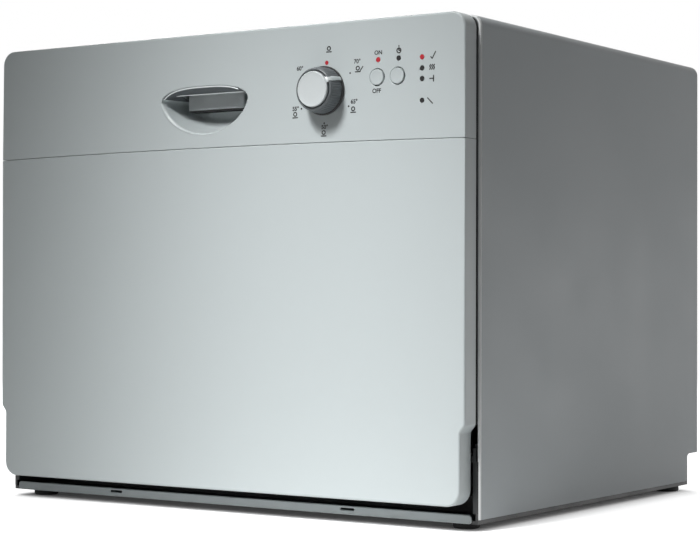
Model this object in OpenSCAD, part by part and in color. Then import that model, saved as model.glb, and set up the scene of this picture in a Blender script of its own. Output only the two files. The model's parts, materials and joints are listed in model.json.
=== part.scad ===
// Countertop dishwasher with a drop-down door and a pull-out dish rack.
// Millimetres, Z up, the door faces -Y. The origin is on the ground under the middle of the object.
// Modules are drawn with Y = 0 at the door's outer face, and place() moves them to the origin.

/* [Cabinet] */
// Width over the side sheets
body_w = 545; // [535:1:570]
// Height from the ground to the top of the door
body_h = 447; // [445:1:470]
// Depth from the door's outer face to the rear edge
body_d = 480; // [474:1:520]
// Thickness of the painted cabinet sheet
sheet_t = 1.2; // [0.8:0.1:1.5]
// Outer bend radius of the cabinet's two long top edges
wrap_r = 10; // [6:1:14]
// How far the cabinet top lies below the door top
top_drop = 1; // [0.5:0.5:2]
// Height of the side sheets above the ground
side_gap = 10; // [9:0.5:12]
// Distance from the door's outer face to the cabinet's front edge
cabinet_front = 22; // [21.6:0.1:23]
// Height of the notch at the rear foot of each side
notch_h = 28.5; // [20:0.5:36]
// Length of that notch along the depth
notch_l = 26; // [20:0.5:30]

/* [Base] */
// Height of the base tray's underside above the ground
base_z = 6; // [5:0.5:7]
// Thickness of the base tray's floor
base_t = 3; // [2:0.5:3.5]
// Height of the base tray's inner front wall
base_wall_h = 74; // [60:1:76]
// Top of the kick strip above the ground
kick_top = 14; // [12:0.5:14]
// Radius of a foot
foot_r = 12; // [9:0.5:14]

/* [Door] */
// How much narrower the door is than the cabinet, on each side
door_inset = 2.5; // [1.5:0.5:4]
// Further step inwards of the door's lower part, on each side
door_step = 5; // [5:0.5:8]
// Height of the door's lower edge above the ground
door_bottom = 22; // [22:0.5:30]
// Thickness of the door's outer skin
door_skin = 1.5; // [1:0.1:2.5]
// Depth of the door's side returns
door_return = 20.2; // [18:0.1:21]
// Corner radius of the door in the front view
door_r = 14; // [8:1:20]
// Height of the fascia from its seam with the panel to the door's top, in the middle
fascia_h = 106.6; // [104:0.1:122]
// How far the seam drops from the middle to the sides
seam_drop = 2.9; // [0:0.1:6]
// Width of the seam's groove
seam_gap = 1; // [0.5:0.1:2]
// Height of the hinge axis above the ground
hinge_z = 62; // [62:0.5:66]
// Distance of the hinge axis behind the door's outer face
hinge_y = 25; // [24:0.5:26]
// Radius of the hinge pin
pin_r = 4; // [3:0.5:5]
// Distance of the door liner's side edges from the door's side edges
liner_inset = 14; // [12:0.5:18]
// Distance of the inner door face behind the outer face
liner_face = 46; // [42:0.5:46]
// Thickness of the stainless sheet of tub and door liner
steel_t = 1.2; // [0.8:0.1:1.5]

/* [Controls] */
// Middle of the programme knob across the fascia
knob_x = 123.8; // [110:0.1:135]
// Middle of the programme knob below the door's top
knob_drop = 61.1; // [55:0.1:67]
// Radius of the knob's skirt at the fascia
knob_r = 21.5; // [18:0.5:24]
// How far the knob stands out from the fascia
knob_out = 19.5; // [14:0.5:24]
// Direction of the knob's pointer, from the horizontal
knob_angle = 30; // [0:30:330]
// Radius of a push button
button_r = 7; // [5:0.5:8]
// Travel of a push button
button_travel = 2; // [1:0.5:2]
// Middle of the start button across the fascia
start_x = 180.3; // [170:0.1:184]
// Middle of the delay button across the fascia
delay_x = 201.6; // [200:0.1:206]
// Middle of both buttons below the door's top
button_drop = 52.2; // [49:0.1:59]
// Radius of an indicator lamp
lamp_r = 2; // [1.5:0.1:3]
// Column of the four lamps across the fascia
lamp_x = 226.7; // [220:0.1:232]
// Middle of the handle recess across the fascia
handle_x = -13; // [-60:1:0]
// Width of the handle recess
handle_w = 104; // [90:1:110]
// Top of the handle recess below the door's top
handle_drop = 48; // [46:0.5:51]
// Height of the handle recess
handle_h = 47; // [44:0.5:52]
// Depth of the handle recess behind the fascia's face
handle_d = 24; // [23:0.5:25]

/* [Tub] */
// Distance of the tub's inner walls from the cabinet's outer sides
tub_side = 34.5; // [31.5:0.5:38.5]
// Underside of the tub's inner space above the ground
tub_z = 90; // [90:0.5:92]
// Top of the tub's inner space below the door's top
tub_drop = 35; // [33:0.5:47]
// Distance of the tub's mouth behind the door's outer face
tub_y = 50; // [49.5:0.5:52]
// Distance of the tub's inner rear wall from the cabinet's rear edge
tub_rear = 42; // [38:1:50]
// Bend radius of the tub's long edges
tub_r = 22; // [16:1:30]
// Width of the tub's flange at the sides
flange_w = 17; // [14:1:18]

/* [Spray] */
// How far the spray arm's axis lies behind the middle of the tub
spray_shift = 2; // [-2:0.5:6]
// Gap between the spray arm's tips and the tub's nearer walls
spray_gap = 12; // [10:0.5:40]
// Radius of the post that carries the spray arm
post_r = 9; // [7:0.5:11]
// Gap between the heater loop and the tub's nearer walls
heater_gap = 30; // [25:0.5:34]
// Radius of the heater's tube
heater_tube_r = 3.8; // [3:0.1:4]

/* [Rack] */
// Gap between the dish rack's sides and the tub's walls
rack_gap = 18; // [17:0.5:24]
// Height of the rack's floor wires
rack_z = 135; // [134:0.5:138]
// Height of the rack's top rim
rack_rim = 250; // [240:1:260]
// Front end of the rack's floor behind the door's outer face
rack_front_y = 104; // [104:1:112]
// Front end of the rack's rim behind the door's outer face
rack_lip_y = 58; // [56:1:64]
// Height of the rack's front rim
rack_lip_z = 214; // [210:1:220]
// Gap between the rack and the tub's rear wall
rack_rear = 14; // [10:1:28]
// Radius of the rack's frame wires
frame_wire_r = 2.5; // [2:0.1:2.8]
// Radius of the rack's thin wires
wire_r = 1.75; // [1.5:0.05:2]
// Radius of a rack wheel
wheel_r = 8; // [6:0.5:8.5]
// Height of the cutlery basket
basket_h = 92; // [70:1:100]
// Reach of the folding cup shelf
shelf_reach = 78; // [60:1:90]

/* [Hidden] */

// Clearances: a running shaft, a loose seat, and two faces that only pass each other
run_gap = 0.05;
seat_gap = 0.3;
pass_gap = 1;

// Finishes
paint = "#b9c2c2";
door_paint = "#c6cfcf";
dark_plastic = "#2b2d2e";
grey_plastic = "#7f8586";
silver = "#c9cccd";
stainless = "#b4b8ba";
white_plastic = "#e4e6e4";
rack_blue = "#8e9aa6";
rubber = "#1d1e1f";

// Cabinet
half_w = body_w / 2;
inner_half = half_w - sheet_t;
cabinet_top = body_h - top_drop;
front_shift = -(body_d - knob_out) / 2;
front_flange = 10;
rear_flange = 10;
rear_flange_y = body_d - 4;
rear_panel_y = rear_flange_y - sheet_t;
rear_panel_z = side_gap + notch_h + 50;
flange_z = 92;
vent_l = 60;
vent_h = 4;
vent_pitch = 10;
vent_rows = 6;
vent_x = 150;
vent_z = cabinet_top - 106;
screw_r = 2;
screw_edge = 6;
screw_top_x = half_w - 52.5;
screw_side_z = [130, 300];
screw_seats = concat(
  [for (x = [-screw_top_x, 0, screw_top_x]) [x, cabinet_top - screw_edge]],
  [for (side = [-1, 1], z = screw_side_z) [side * (half_w - screw_edge), z]]);

// Base tray
base_top = base_z + base_t;
base_half = inner_half - 0.2;
base_wall = 2.5;
base_front_y = cabinet_front - 0.5;
sweep_y = 78;
base_rear_y = body_d - notch_l + pass_gap;
tub_floor_z = tub_z - steel_t;
tub_half = half_w - tub_side;
tub_rear_y = body_d - tub_rear;
tub_d = tub_rear_y - tub_y;
tub_top = body_h - tub_drop;
tub_reach = min(tub_half, tub_d / 2);
post_x = base_half - 46.1;
post_front_y = tub_y + 70;
post_seats = [[-post_x, post_front_y], [post_x, post_front_y],
  [post_x, tub_rear_y - 38], [-100, tub_rear_y - 13]];
base_post_r = 9;
base_side_h = 54;
foot_front = [half_w - 25, 42];
foot_rear = [half_w - 16.5, body_d - 40];
feet_at = [for (foot = [foot_front, foot_rear], side = [-1, 1]) [side * foot[0], foot[1]]];
foot_stem_r = 4;
kick_t = 1.5;
kick_slot_x = 136;
kick_slot = [15, 2];

// Door
door_half = half_w - door_inset;
low_half = door_half - door_step;
step_top = 90.6;
step_bottom = 86.8;
liner_half = door_half - liner_inset;
seam_z = body_h - fascia_h;
liner_low_z = door_bottom + 4;
liner_top_z = body_h - 15;
liner_flange_y = door_return - 1.7;
arm_t = 4.8;
bracket_t = 2.7;
felt_half = low_half - 20;
felt_t = 8;
felt_z = [door_bottom + 18, seam_z - 20.4];
door_screw_x = [liner_half - 56, 70];
door_screw_z = door_bottom + 28;
door_screw_l = 17;
door_screw_seats = [for (x = door_screw_x, side = [-1, 1]) [side * x, door_screw_z]];

// Handle and latch
handle_top = body_h - handle_drop;
recess_rise = 14;
scoop_wall = 1.5;
scoop_half = handle_w / 2 - 12;
scoop_rise = recess_rise - 2;
scoop_fall = recess_rise;
bowl_half = handle_w / 2 - 14;
bowl_rise = 2;
bowl_d = handle_d + 10;
latch_y = handle_d - 2;
latch_half = 44;
lever_half = latch_half - 11;
latch_z = handle_top + 5;
latch_rod_r = 2;
hook_y = 34;
hook_z = tub_top + 12.5;
hook_t = 8;
hook_h = 6;
hook_reach = 30;
strike_r = 2;
strike_y = tub_y + 7;
strike_z = hook_z - hook_h / 2 - 0.7 - seat_gap - strike_r;

// Controls
knob_z = body_h - knob_drop;
button_z = body_h - button_drop;
board_y = 12;
board_t = 1.6;
board_x = [knob_x - 53.8, door_half - 25];
board_z = [body_h - 95, body_h - 11];
board_post_r = 3;
board_post_inset = 5;
switch_r = 15;
switch_t = 8;
skirt_gap = 0.8;
cap_t = 2;
spindle_r = 3;
lamp_zs = [for (drop = [37.5, 47.1, 56.3, 75.1]) body_h - drop];
lamp_top_z = body_h - 37;
lamp_step_x = 1.1;
lamps_at = concat(
  [for (x = [start_x, delay_x]) [x + lamp_step_x, lamp_top_z]],
  [for (z = lamp_zs) [lamp_x, z]]);

// Dispenser
disp_x = 10;
disp_z = 262;
disp_w = 170;
disp_h = 108;
disp_d = 20;
lid_w = 70;
lid_h = 54;
lid_t = 3;
lid_travel = 72;
rinse_r = 15;
rinse_x = disp_x + 45;
rinse_z = disp_z - 36;

// Tub and its floor
spray_y = tub_y + tub_d / 2 + spray_shift;
spray_reach = tub_reach - spray_gap;
heater_r = tub_reach - heater_gap;
sump_x = 85;
sump_y = spray_y - 71;
sump_r = 42;
sump_z = 28;
sump_wall = 2.5;
filter_r = 25;
filter_seat_r = 30;
salt_x = -tub_half + 58;
salt_y = tub_rear_y - 53;
salt_r = 24;
tank = [110, 140];
tank_front = 80;
float_x = -tub_half + 38;
float_y = tub_y + 60;
float_r = 16;
air_break_t = 26;
air_break_y = [tub_y + 80, tub_rear_y - 28];
air_break_z = [tub_z + 10, tub_top - 32];
float_stem_r = 4;
arm_z = tub_z + 13;
arm_h = 9;
arm_w = 34;
heater_z = tub_z + 5.5;
heater_gap_angle = 10;
heater_leg_r = heater_tube_r + 0.7;
heater_legs = [for (side = [-1, 1])
  [heater_r * sin(side * heater_gap_angle), spray_y + heater_r * cos(heater_gap_angle)]];

// Pumps
pump_x = sump_x + 5;
pump_z = 47;
pump_r = 35;
pump_w = 26;
motor_r = 30;
motor_l = 95;
duct_z = 62;
drain_x = -10;
drain_stub = 12;
drain_z = 34;
pipe_r = 9.5;
rear_port_z = 52;
inlet_x = 150;
inlet_r = 13.2;
inlet_bore_r = 9;
inlet_neck = 1.5;
gland_x = half_w - 57.5;
gland_r = 4.5;

// Rack
rack_half = tub_half - rack_gap;
rack_rear_y = tub_rear_y - rack_rear;
rack_shoulder = [rack_front_y + 46, rack_rim];
guide_z = rack_z + 4;
guide_t = 2;
guide_w = 12;
channel_h = 2 * guide_t + 2 * wheel_r + seat_gap + pass_gap;
wheel_w = 6;
wheel_z = guide_z + guide_t + seat_gap + wheel_r;
wheel_ys = [rack_rear_y - 124, rack_rear_y - 14];
axle_r = 2.5;
weld = 0.4;
cross_z = rack_z + 2 * wire_r - weld;
side_wire_y = rack_shoulder[0] + 10;
side_wire_ys = [for (i = [0:4]) side_wire_y + i * (rack_rear_y - 48 - side_wire_y) / 4];
clip_ys = [side_wire_ys[1], side_wire_ys[3]];
basket = [82, 140];
basket_x = rack_half - 98;
basket_y = rack_shoulder[0];
shelf_z = rack_rim - 14;
shelf_x = -(rack_half - 6);
shelf_ys = [side_wire_ys[0], side_wire_ys[4] + 4];
shelf_gaps = 6;
tine_rows = [for (i = [0:2]) rack_front_y + 86 + 80 * i];
tine_x = [35 - rack_half, basket_x - 27];
tine_h = 74;
tine_count = 8;

module place() {
  translate([0, front_shift, 0]) children();
}

// A slab drawn in the front view, with its near face at y
module slab_xz(y, depth) {
  translate([0, y + depth, 0]) rotate([90, 0, 0]) linear_extrude(depth) children();
}

// A slab drawn in the side view (Y across, Z up), starting at x
module slab_yz(x, width) {
  translate([x, 0, 0]) rotate([90, 0, 90]) linear_extrude(width) children();
}

module rod_y(x, z, y1, y2, r) {
  translate([x, y2, z]) rotate([90, 0, 0]) cylinder(h = y2 - y1, r = r, $fn = 48);
}

module rod_x(y, z, x1, x2, r) {
  translate([x1, y, z]) rotate([0, 90, 0]) cylinder(h = x2 - x1, r = r, $fn = 48);
}

module rod_z(x, y, z1, z2, r) {
  translate([x, y, z1]) cylinder(h = z2 - z1, r = r, $fn = 48);
}

// A straight wire between two points
module wire(a, b, r) {
  d = b - a;
  flat = norm([d[0], d[1]]);
  translate(a) rotate([0, atan2(flat, d[2]), atan2(d[1], d[0])])
    cylinder(h = norm(d), r = r, $fn = 16);
}

module rounded(x1, x2, z1, z2, r) {
  translate([x1 + r, z1]) square([x2 - x1 - 2 * r, z2 - z1]);
  translate([x1, z1 + r]) square([x2 - x1, z2 - z1 - 2 * r]);
  for (x = [x1 + r, x2 - r], z = [z1 + r, z2 - r]) translate([x, z]) circle(r, $fn = 64);
}

// The cabinet sheet seen from the front, moved inwards, open below
module wrap_outline(inset, bottom) {
  half = half_w - inset;
  top = cabinet_top - inset;
  r = max(wrap_r - inset, 1);
  translate([-half, bottom]) square([2 * half, top - r - bottom]);
  translate([-half + r, bottom]) square([2 * (half - r), top - bottom]);
  for (side = [-1, 1]) translate([side * (half - r), top - r]) circle(r, $fn = 64);
}

module cabinet_wrap() {
  color(paint) place() {
    difference() {
      slab_xz(cabinet_front, body_d - cabinet_front) wrap_outline(0, side_gap);
      slab_xz(cabinet_front - 1, body_d - cabinet_front + 2) wrap_outline(sheet_t, side_gap - 1);
      slab_yz(-half_w - 1, body_w + 2)
        rounded(body_d - notch_l, body_d + notch_l, side_gap - notch_h, side_gap + notch_h, 6);
    }
    slab_xz(cabinet_front, sheet_t) difference() {
      wrap_outline(sheet_t / 2, flange_z);
      wrap_outline(front_flange, flange_z - 1);
    }
    difference() {
      slab_xz(rear_flange_y, sheet_t) difference() {
        wrap_outline(sheet_t / 2, rear_panel_z);
        wrap_outline(rear_flange, rear_panel_z - 1);
      }
      for (p = screw_seats) rod_y(p[0], p[1], rear_flange_y - 1, body_d, screw_r);
    }
  }
}

module rear_panel() {
  color("#9aa0a1") place() difference() {
    slab_xz(rear_panel_y, sheet_t) wrap_outline(sheet_t + 0.2, rear_panel_z);
    slab_xz(rear_panel_y - 1, sheet_t + 2)
      for (side = [-1, 1], row = [0:vent_rows - 1])
        translate([side * vent_x - vent_l / 2, vent_z + row * vent_pitch]) square([vent_l, vent_h]);
    for (p = screw_seats) rod_y(p[0], p[1], rear_panel_y - 1, rear_flange_y, screw_r);
  }
}

module cabinet_screws() {
  color(stainless) place() for (p = screw_seats) {
    rod_y(p[0], p[1], rear_panel_y - 5, rear_flange_y + sheet_t + 1, screw_r);
    rod_y(p[0], p[1], rear_flange_y + sheet_t, rear_flange_y + sheet_t + 2, 3.5);
  }
}

module base_tray() {
  wall_l = base_rear_y + base_wall - base_front_y;
  color(dark_plastic) place() difference() {
    union() {
      translate([-base_half, base_front_y, base_z]) cube([2 * base_half, wall_l, base_t]);
      for (x = [-base_half, base_half - base_wall])
        translate([x, base_front_y, base_z]) cube([base_wall, wall_l, base_side_h]);
      translate([-base_half, sweep_y, base_z]) cube([2 * base_half, base_wall, base_wall_h]);
      translate([-base_half, base_rear_y, base_z])
        cube([2 * base_half, base_wall, rear_panel_z - base_z]);
      translate([-base_half, base_rear_y, rear_panel_z - base_wall])
        cube([2 * base_half, rear_panel_y + sheet_t - base_rear_y, base_wall]);
      for (p = post_seats) rod_z(p[0], p[1], base_z, tub_floor_z, base_post_r);
    }
    for (p = feet_at) rod_z(p[0], p[1], base_z - 1, base_top + 1, foot_stem_r);
    rod_y(inlet_x, rear_port_z, base_rear_y - 1, base_rear_y + base_wall + 1, inlet_r + seat_gap);
    rod_y(drain_x, drain_z, base_rear_y - 1, base_rear_y + base_wall + 1, pipe_r);
    rod_y(gland_x, rear_port_z, base_rear_y - 1, base_rear_y + base_wall + 1, 8);
  }
}

module kick_plate() {
  color(door_paint) place() {
    slab_xz(base_front_y - kick_t, kick_t) difference() {
      rounded(-low_half, low_half, base_z, kick_top, 3);
      for (side = [-1, 1])
        translate([side * kick_slot_x - kick_slot[0] / 2, (base_z + kick_top) / 2])
          square(kick_slot);
    }
  }
}

module feet() {
  color(rubber) place() for (p = feet_at) {
    rod_z(p[0], p[1], 0, base_z, foot_r);
    rod_z(p[0], p[1], base_z, base_top, foot_stem_r);
  }
}

module tub() {
  flange_half = tub_half + flange_w;
  color(stainless) place() difference() {
    union() {
      slab_xz(tub_y, tub_d + steel_t)
        rounded(-tub_half - steel_t, tub_half + steel_t, tub_floor_z, tub_top + steel_t, tub_r);
      slab_xz(tub_y, steel_t) rounded(-flange_half, flange_half, tub_z - 4, tub_top + 8, 12);
    }
    slab_xz(tub_y - 1, tub_d + 1)
      rounded(-tub_half, tub_half, tub_z, tub_top, tub_r - steel_t);
    rod_z(sump_x, sump_y, tub_floor_z - 1, tub_z + 1, sump_r - 4);
    rod_z(0, spray_y, tub_floor_z - 1, tub_z + 1, post_r + 4);
    rod_z(salt_x, salt_y, tub_floor_z - 1, tub_z + 1, salt_r + 1);
    rod_z(float_x, float_y, tub_floor_z - 1, tub_z + 1, float_stem_r + seat_gap);
    for (p = heater_legs) rod_z(p[0], p[1], tub_floor_z - 1, tub_z + 1, heater_leg_r + run_gap);
  }
}

module door_gasket() {
  color(rubber) place() slab_xz(liner_face + seat_gap, tub_y - liner_face - seat_gap)
    difference() {
      rounded(-tub_half - 12, tub_half + 12, tub_z - 3.6, tub_top + 7, 14);
      rounded(-tub_half - 2, tub_half + 2, tub_z - 0.4, tub_top + 1, 10);
    }
}

// One channel, with its back against the tub's wall; side is -1 at the left and 1 at the right
module rack_guide(side) {
  guide_y = tub_y + 6;
  color(white_plastic) place() slab_xz(guide_y, tub_rear_y - guide_y)
    scale([side, 1]) {
      translate([tub_half - guide_t, guide_z]) square([guide_t, channel_h]);
      for (z = [guide_z, guide_z + channel_h - guide_t])
        translate([tub_half - guide_w, z]) square([guide_w, guide_t]);
    }
}

module rack_guide_left() { rack_guide(-1); }
module rack_guide_right() { rack_guide(1); }

module sump() {
  tower_r = post_r + 3.5;
  duct_end = pump_x - pump_r - 5;
  color(grey_plastic) place() difference() {
    union() {
      rod_z(sump_x, sump_y, sump_z, tub_floor_z, sump_r);
      rod_z(sump_x, sump_y, tub_floor_z - 3, tub_floor_z, sump_r + 6);
      rod_z(0, spray_y, duct_z - 12, tub_floor_z, tower_r);
      translate([0, sump_y, tub_floor_z - 3]) cube([sump_x, spray_y - sump_y, 3]);
      rod_z(0, spray_y, tub_floor_z - 1, arm_z + 9, post_r);
      rod_x(spray_y, duct_z, 0, duct_end, 11);
      rod_y(sump_x + 2, pump_z, sump_y + sump_r - 6, spray_y - pump_w / 2, 13);
      rod_x(sump_y, drain_z + 4, sump_x - sump_r - drain_stub, sump_x - sump_r + 6, 8);
    }
    rod_z(sump_x, sump_y, sump_z + sump_wall, tub_floor_z + 1, sump_r - sump_wall);
    rod_z(0, spray_y, duct_z - 9, arm_z + 10, post_r - 2.5);
    rod_x(spray_y, duct_z, 0, duct_end + 1, 8.5);
    rod_y(sump_x + 2, pump_z, sump_y + sump_r - 10, spray_y - pump_w / 2 + 1, 10.5);
    rod_x(sump_y, drain_z + 4, sump_x - sump_r - drain_stub - 1, sump_x - sump_r + 10, 6);
  }
}

module fine_filter() {
  color(stainless) place() difference() {
    rod_z(sump_x, sump_y, tub_z, tub_z + 1.2, sump_r + 2);
    rod_z(sump_x, sump_y, tub_z - 1, tub_z + 3, filter_r + seat_gap);
    for (ring = [0:23])
      rotate_about(sump_x, sump_y, ring * 15)
        translate([filter_seat_r + 2, -1, tub_z - 1]) cube([9, 2, 3]);
  }
}

module rotate_about(x, y, angle) {
  translate([x, y, 0]) rotate([0, 0, angle]) children();
}

module coarse_filter() {
  low = sump_z + 22;
  seat = tub_z + 1.2 + seat_gap;
  color(grey_plastic) place() difference() {
    union() {
      rod_z(sump_x, sump_y, low, seat, filter_r);
      rod_z(sump_x, sump_y, seat, seat + 2, filter_seat_r);
      translate([sump_x - 22, sump_y - 2, seat]) cube([44, 4, 8]);
    }
    rod_z(sump_x, sump_y, low - 1, seat - 2, filter_r - 2);
    for (turn = [0:5], z = [low + 8, low + 22])
      rotate_about(sump_x, sump_y, turn * 30)
        translate([-filter_r - 1, -3, z]) cube([2 * filter_r + 2, 6, 8]);
  }
}

module heater() {
  color("#6d6f70") place() {
    translate([0, spray_y, heater_z]) rotate([0, 0, 90 + heater_gap_angle])
      rotate_extrude(angle = 360 - 2 * heater_gap_angle, $fn = 96)
        translate([heater_r, 0]) circle(heater_tube_r, $fn = 24);
    for (p = heater_legs)
      rod_z(p[0], p[1], tub_floor_z - 14, heater_z + heater_tube_r + 0.4, heater_leg_r);
  }
}

module spray_arm() {
  reach = spray_reach - arm_w / 2;
  color(grey_plastic) place() translate([0, spray_y, 0]) difference() {
    union() {
      rod_z(0, 0, arm_z - 2, arm_z + 13, 16);
      rod_z(0, 0, arm_z + 13, arm_z + 16, 10);
      translate([-reach, -arm_w / 2, arm_z]) cube([2 * reach, arm_w, arm_h]);
      for (x = [-reach, reach]) rod_z(x, 0, arm_z, arm_z + arm_h, arm_w / 2);
    }
    rod_z(0, 0, arm_z - 3, arm_z + 10, post_r + run_gap);
    for (x = [60, 95, 130, 160], side = [-1, 1])
      rod_z(side * x, side * 6, arm_z + 3, arm_z + arm_h + 1, 1.5);
    for (side = [-1, 1])
      translate([side > 0 ? 22 : -reach, -arm_w / 2 + 3, arm_z + 3])
        cube([reach - 22, arm_w - 6, arm_h - 6]);
  }
}

module softener_tank() {
  color(white_plastic) place() difference() {
    union() {
      translate([salt_x - tank[0] / 2, salt_y - tank_front, base_top])
        cube([tank[0], tank[1], tub_floor_z - base_top - 4]);
      rod_z(salt_x, salt_y, base_top, tub_floor_z, salt_r + 5);
      rod_z(salt_x, salt_y, base_top, tub_z + 8, salt_r);
    }
    rod_z(salt_x, salt_y, base_top + 3, tub_z + 9, salt_r - 3);
  }
}

module salt_cap() {
  color(dark_plastic) place() difference() {
    union() {
      rod_z(salt_x, salt_y, tub_z + seat_gap, tub_z + 11, salt_r + 5);
      translate([salt_x - 24, salt_y - 3, tub_z + 11]) cube([48, 6, 6]);
    }
    rod_z(salt_x, salt_y, tub_z - 1, tub_z + 8 + seat_gap, salt_r + run_gap);
  }
}

module float_bell() {
  color(white_plastic) place() {
    rod_z(float_x, float_y, tub_floor_z - 10, tub_z + seat_gap, float_stem_r);
    rod_z(float_x, float_y, tub_z + seat_gap, tub_z + 16, float_r);
    rod_z(float_x, float_y, tub_z + 16, tub_z + 19, float_r - 4);
  }
}

module circulation_pump() {
  low_y = spray_y - pump_w / 2;
  color("#3c3f41") place() {
    rod_y(pump_x, pump_z, low_y, low_y + pump_w, pump_r);
    rod_x(spray_y, duct_z, pump_x - pump_r - 5, pump_x - pump_r + 12, 11);
    rod_y(pump_x, pump_z, low_y + pump_w, low_y + pump_w + motor_l, motor_r);
    rod_y(pump_x, pump_z, low_y + pump_w + motor_l, low_y + pump_w + motor_l + 8, 12);
    for (y = [low_y + pump_w + 15, low_y + pump_w + motor_l - 25])
      translate([pump_x - 20, y, base_top]) cube([40, 10, 20]);
  }
}

module drain_pump() {
  end_x = sump_x - sump_r - drain_stub;
  color("#45494c") place() {
    rod_x(sump_y, drain_z + 4, end_x - 6, end_x, 8);
    rod_x(sump_y, drain_z, end_x - 26, end_x - 6, 22);
    rod_x(sump_y, drain_z, end_x - 76, end_x - 26, 17);
    rod_y(drain_x, drain_z, sump_y + 10, sump_y + 30, pipe_r);
    translate([end_x - 66, sump_y - 12, base_top]) cube([30, 24, 10]);
  }
}

module drain_pipe() {
  end_y = body_d - 6;
  color(grey_plastic) place() difference() {
    union() {
      rod_y(drain_x, drain_z, sump_y + 30, end_y, pipe_r);
      for (y = [end_y - 12, end_y - 7, end_y - 2]) rod_y(drain_x, drain_z, y, y + 2, pipe_r + 0.8);
    }
    rod_y(drain_x, drain_z, sump_y + 29, end_y + 1, pipe_r - 2.5);
  }
}

module inlet_valve() {
  color(white_plastic) place() difference() {
    union() {
      rod_y(inlet_x, rear_port_z, base_rear_y - 30, base_rear_y + base_wall + inlet_neck, inlet_r - 1);
      rod_y(inlet_x, rear_port_z, base_rear_y + base_wall + inlet_neck, body_d - 6, inlet_r);
      rod_y(inlet_x, rear_port_z, base_rear_y - 4, base_rear_y, inlet_r + 5);
      translate([inlet_x - 16, base_rear_y - 50, base_top]) cube([32, 24, 60]);
    }
    rod_y(inlet_x, rear_port_z, base_rear_y - 20, body_d, inlet_bore_r);
  }
}

module air_break() {
  wall_x = -tub_half - steel_t;
  color("#d8dcdc") place()
    slab_yz(wall_x - air_break_t, air_break_t)
      rounded(air_break_y[0], air_break_y[1], air_break_z[0], air_break_z[1], 18);
}

module cable_gland() {
  color(dark_plastic) place() difference() {
    union() {
      rod_y(gland_x, rear_port_z, base_rear_y - 4, base_rear_y, 11);
      rod_y(gland_x, rear_port_z, base_rear_y, base_rear_y + base_wall, 8);
      rod_y(gland_x, rear_port_z, base_rear_y + base_wall, base_rear_y + base_wall + 6, 11);
    }
    rod_y(gland_x, rear_port_z, base_rear_y - 5, base_rear_y + base_wall + 7, gland_r);
  }
}

// Bracket on the base tray's wall, with the hinge pin that points inwards
module hinge_bracket(side) {
  plate_x = base_half - base_wall - bracket_t;
  color("#a9adae") place() scale([side, 1, 1]) {
    difference() {
      slab_yz(plate_x, bracket_t) {
        translate([base_front_y, kick_top + 1]) square([50, hinge_z - kick_top - 1]);
        translate([hinge_y, hinge_z]) circle(10, $fn = 48);
        translate([hinge_y, hinge_z - 1]) square([46.5, 14]);
      }
      translate([plate_x - 1, 0, 0]) cube([bracket_t + 2, base_front_y, 100]);
    }
    rod_x(hinge_y, hinge_z, liner_half - steel_t - arm_t - 1, plate_x, pin_r);
  }
}

module hinge_bracket_left() { mirror_x() hinge_bracket(1); }
module hinge_bracket_right() { hinge_bracket(1); }
module mirror_x() { mirror([1, 0, 0]) children(); }

module hinge_arm() {
  arm_x = liner_half - steel_t - arm_t;
  color("#a9adae") place() difference() {
    slab_yz(arm_x, arm_t) {
      translate([hinge_y, hinge_z]) circle(9, $fn = 48);
      translate([hinge_y - 4, hinge_z]) square([liner_face - steel_t - hinge_y + 4, 70]);
    }
    rod_x(hinge_y, hinge_z, arm_x - 1, arm_x + arm_t + 1, pin_r + run_gap);
  }
}

module hinge_arm_left() { mirror_x() hinge_arm(); }
module hinge_arm_right() { hinge_arm(); }

module strike_plate() {
  low = tub_top + steel_t;
  color(silver) place() {
    translate([handle_x - 20, strike_y - 5, low]) cube([40, 22, 1.5]);
    for (side = [-1, 1])
      translate([handle_x + side * 12 - 1, strike_y - 4, low])
        cube([2, 8, strike_z + strike_r - low]);
    rod_x(strike_y, strike_z, handle_x - 12, handle_x + 12, strike_r);
  }
}

// Front view of the door, moved inwards: wide above the step, narrower below it
module door_outline(inset) {
  half = door_half - inset;
  low = low_half - inset;
  r = door_r - inset;
  top = body_h - inset;
  bottom = door_bottom + inset;
  slope = (half - low) / (step_top - step_bottom);
  rounded(-low, low, bottom, top - 1, r);
  difference() {
    rounded(-half, half, bottom, top, r);
    translate([-half - 1, bottom - 1]) square([2 * half + 2, step_bottom - bottom]);
    for (side = [-1, 1])
      polygon([[side * (half + slope), step_top + 1], [side * (low - slope), step_bottom - 1],
        [side * (half + slope), step_bottom - 1]]);
  }
}

// Height of the seam's arch across the door
function seam_at(x) = seam_z - seam_drop * pow(x / door_half, 2);

module below_seam(shift) {
  reach = half_w + 5;
  arch = [for (step = [0:24]) let (x = reach - step * reach / 12) [x, seam_at(x) - shift]];
  polygon(concat([[-reach, 0], [reach, 0]], arch));
}

module door_panel() {
  color(door_paint) place() difference() {
    slab_xz(0, door_return) intersection() { door_outline(0); below_seam(seam_gap / 2); }
    slab_xz(door_skin, door_return)
      intersection() { door_outline(door_skin); below_seam(seam_gap / 2 + door_skin); }
    slab_xz(liner_flange_y - seat_gap, door_return) door_outline(door_skin);
  }
}

// Front view of the handle recess: an arched top over a bowl, with the widest place at side_z
module recess_outline(half, rise, fall) {
  side_z = handle_top - recess_rise;
  top = [for (turn = [-90:10:90]) let (t = sin(turn))
    [handle_x + half * t, side_z + rise * pow(1 - pow(abs(t), 3), 0.5)]];
  bowl = [for (turn = [80:-10:-80]) let (t = sin(turn))
    [handle_x + half * t, side_z - fall * pow(1 - t * t, 0.6)]];
  polygon(concat(top, bowl));
}

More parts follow.
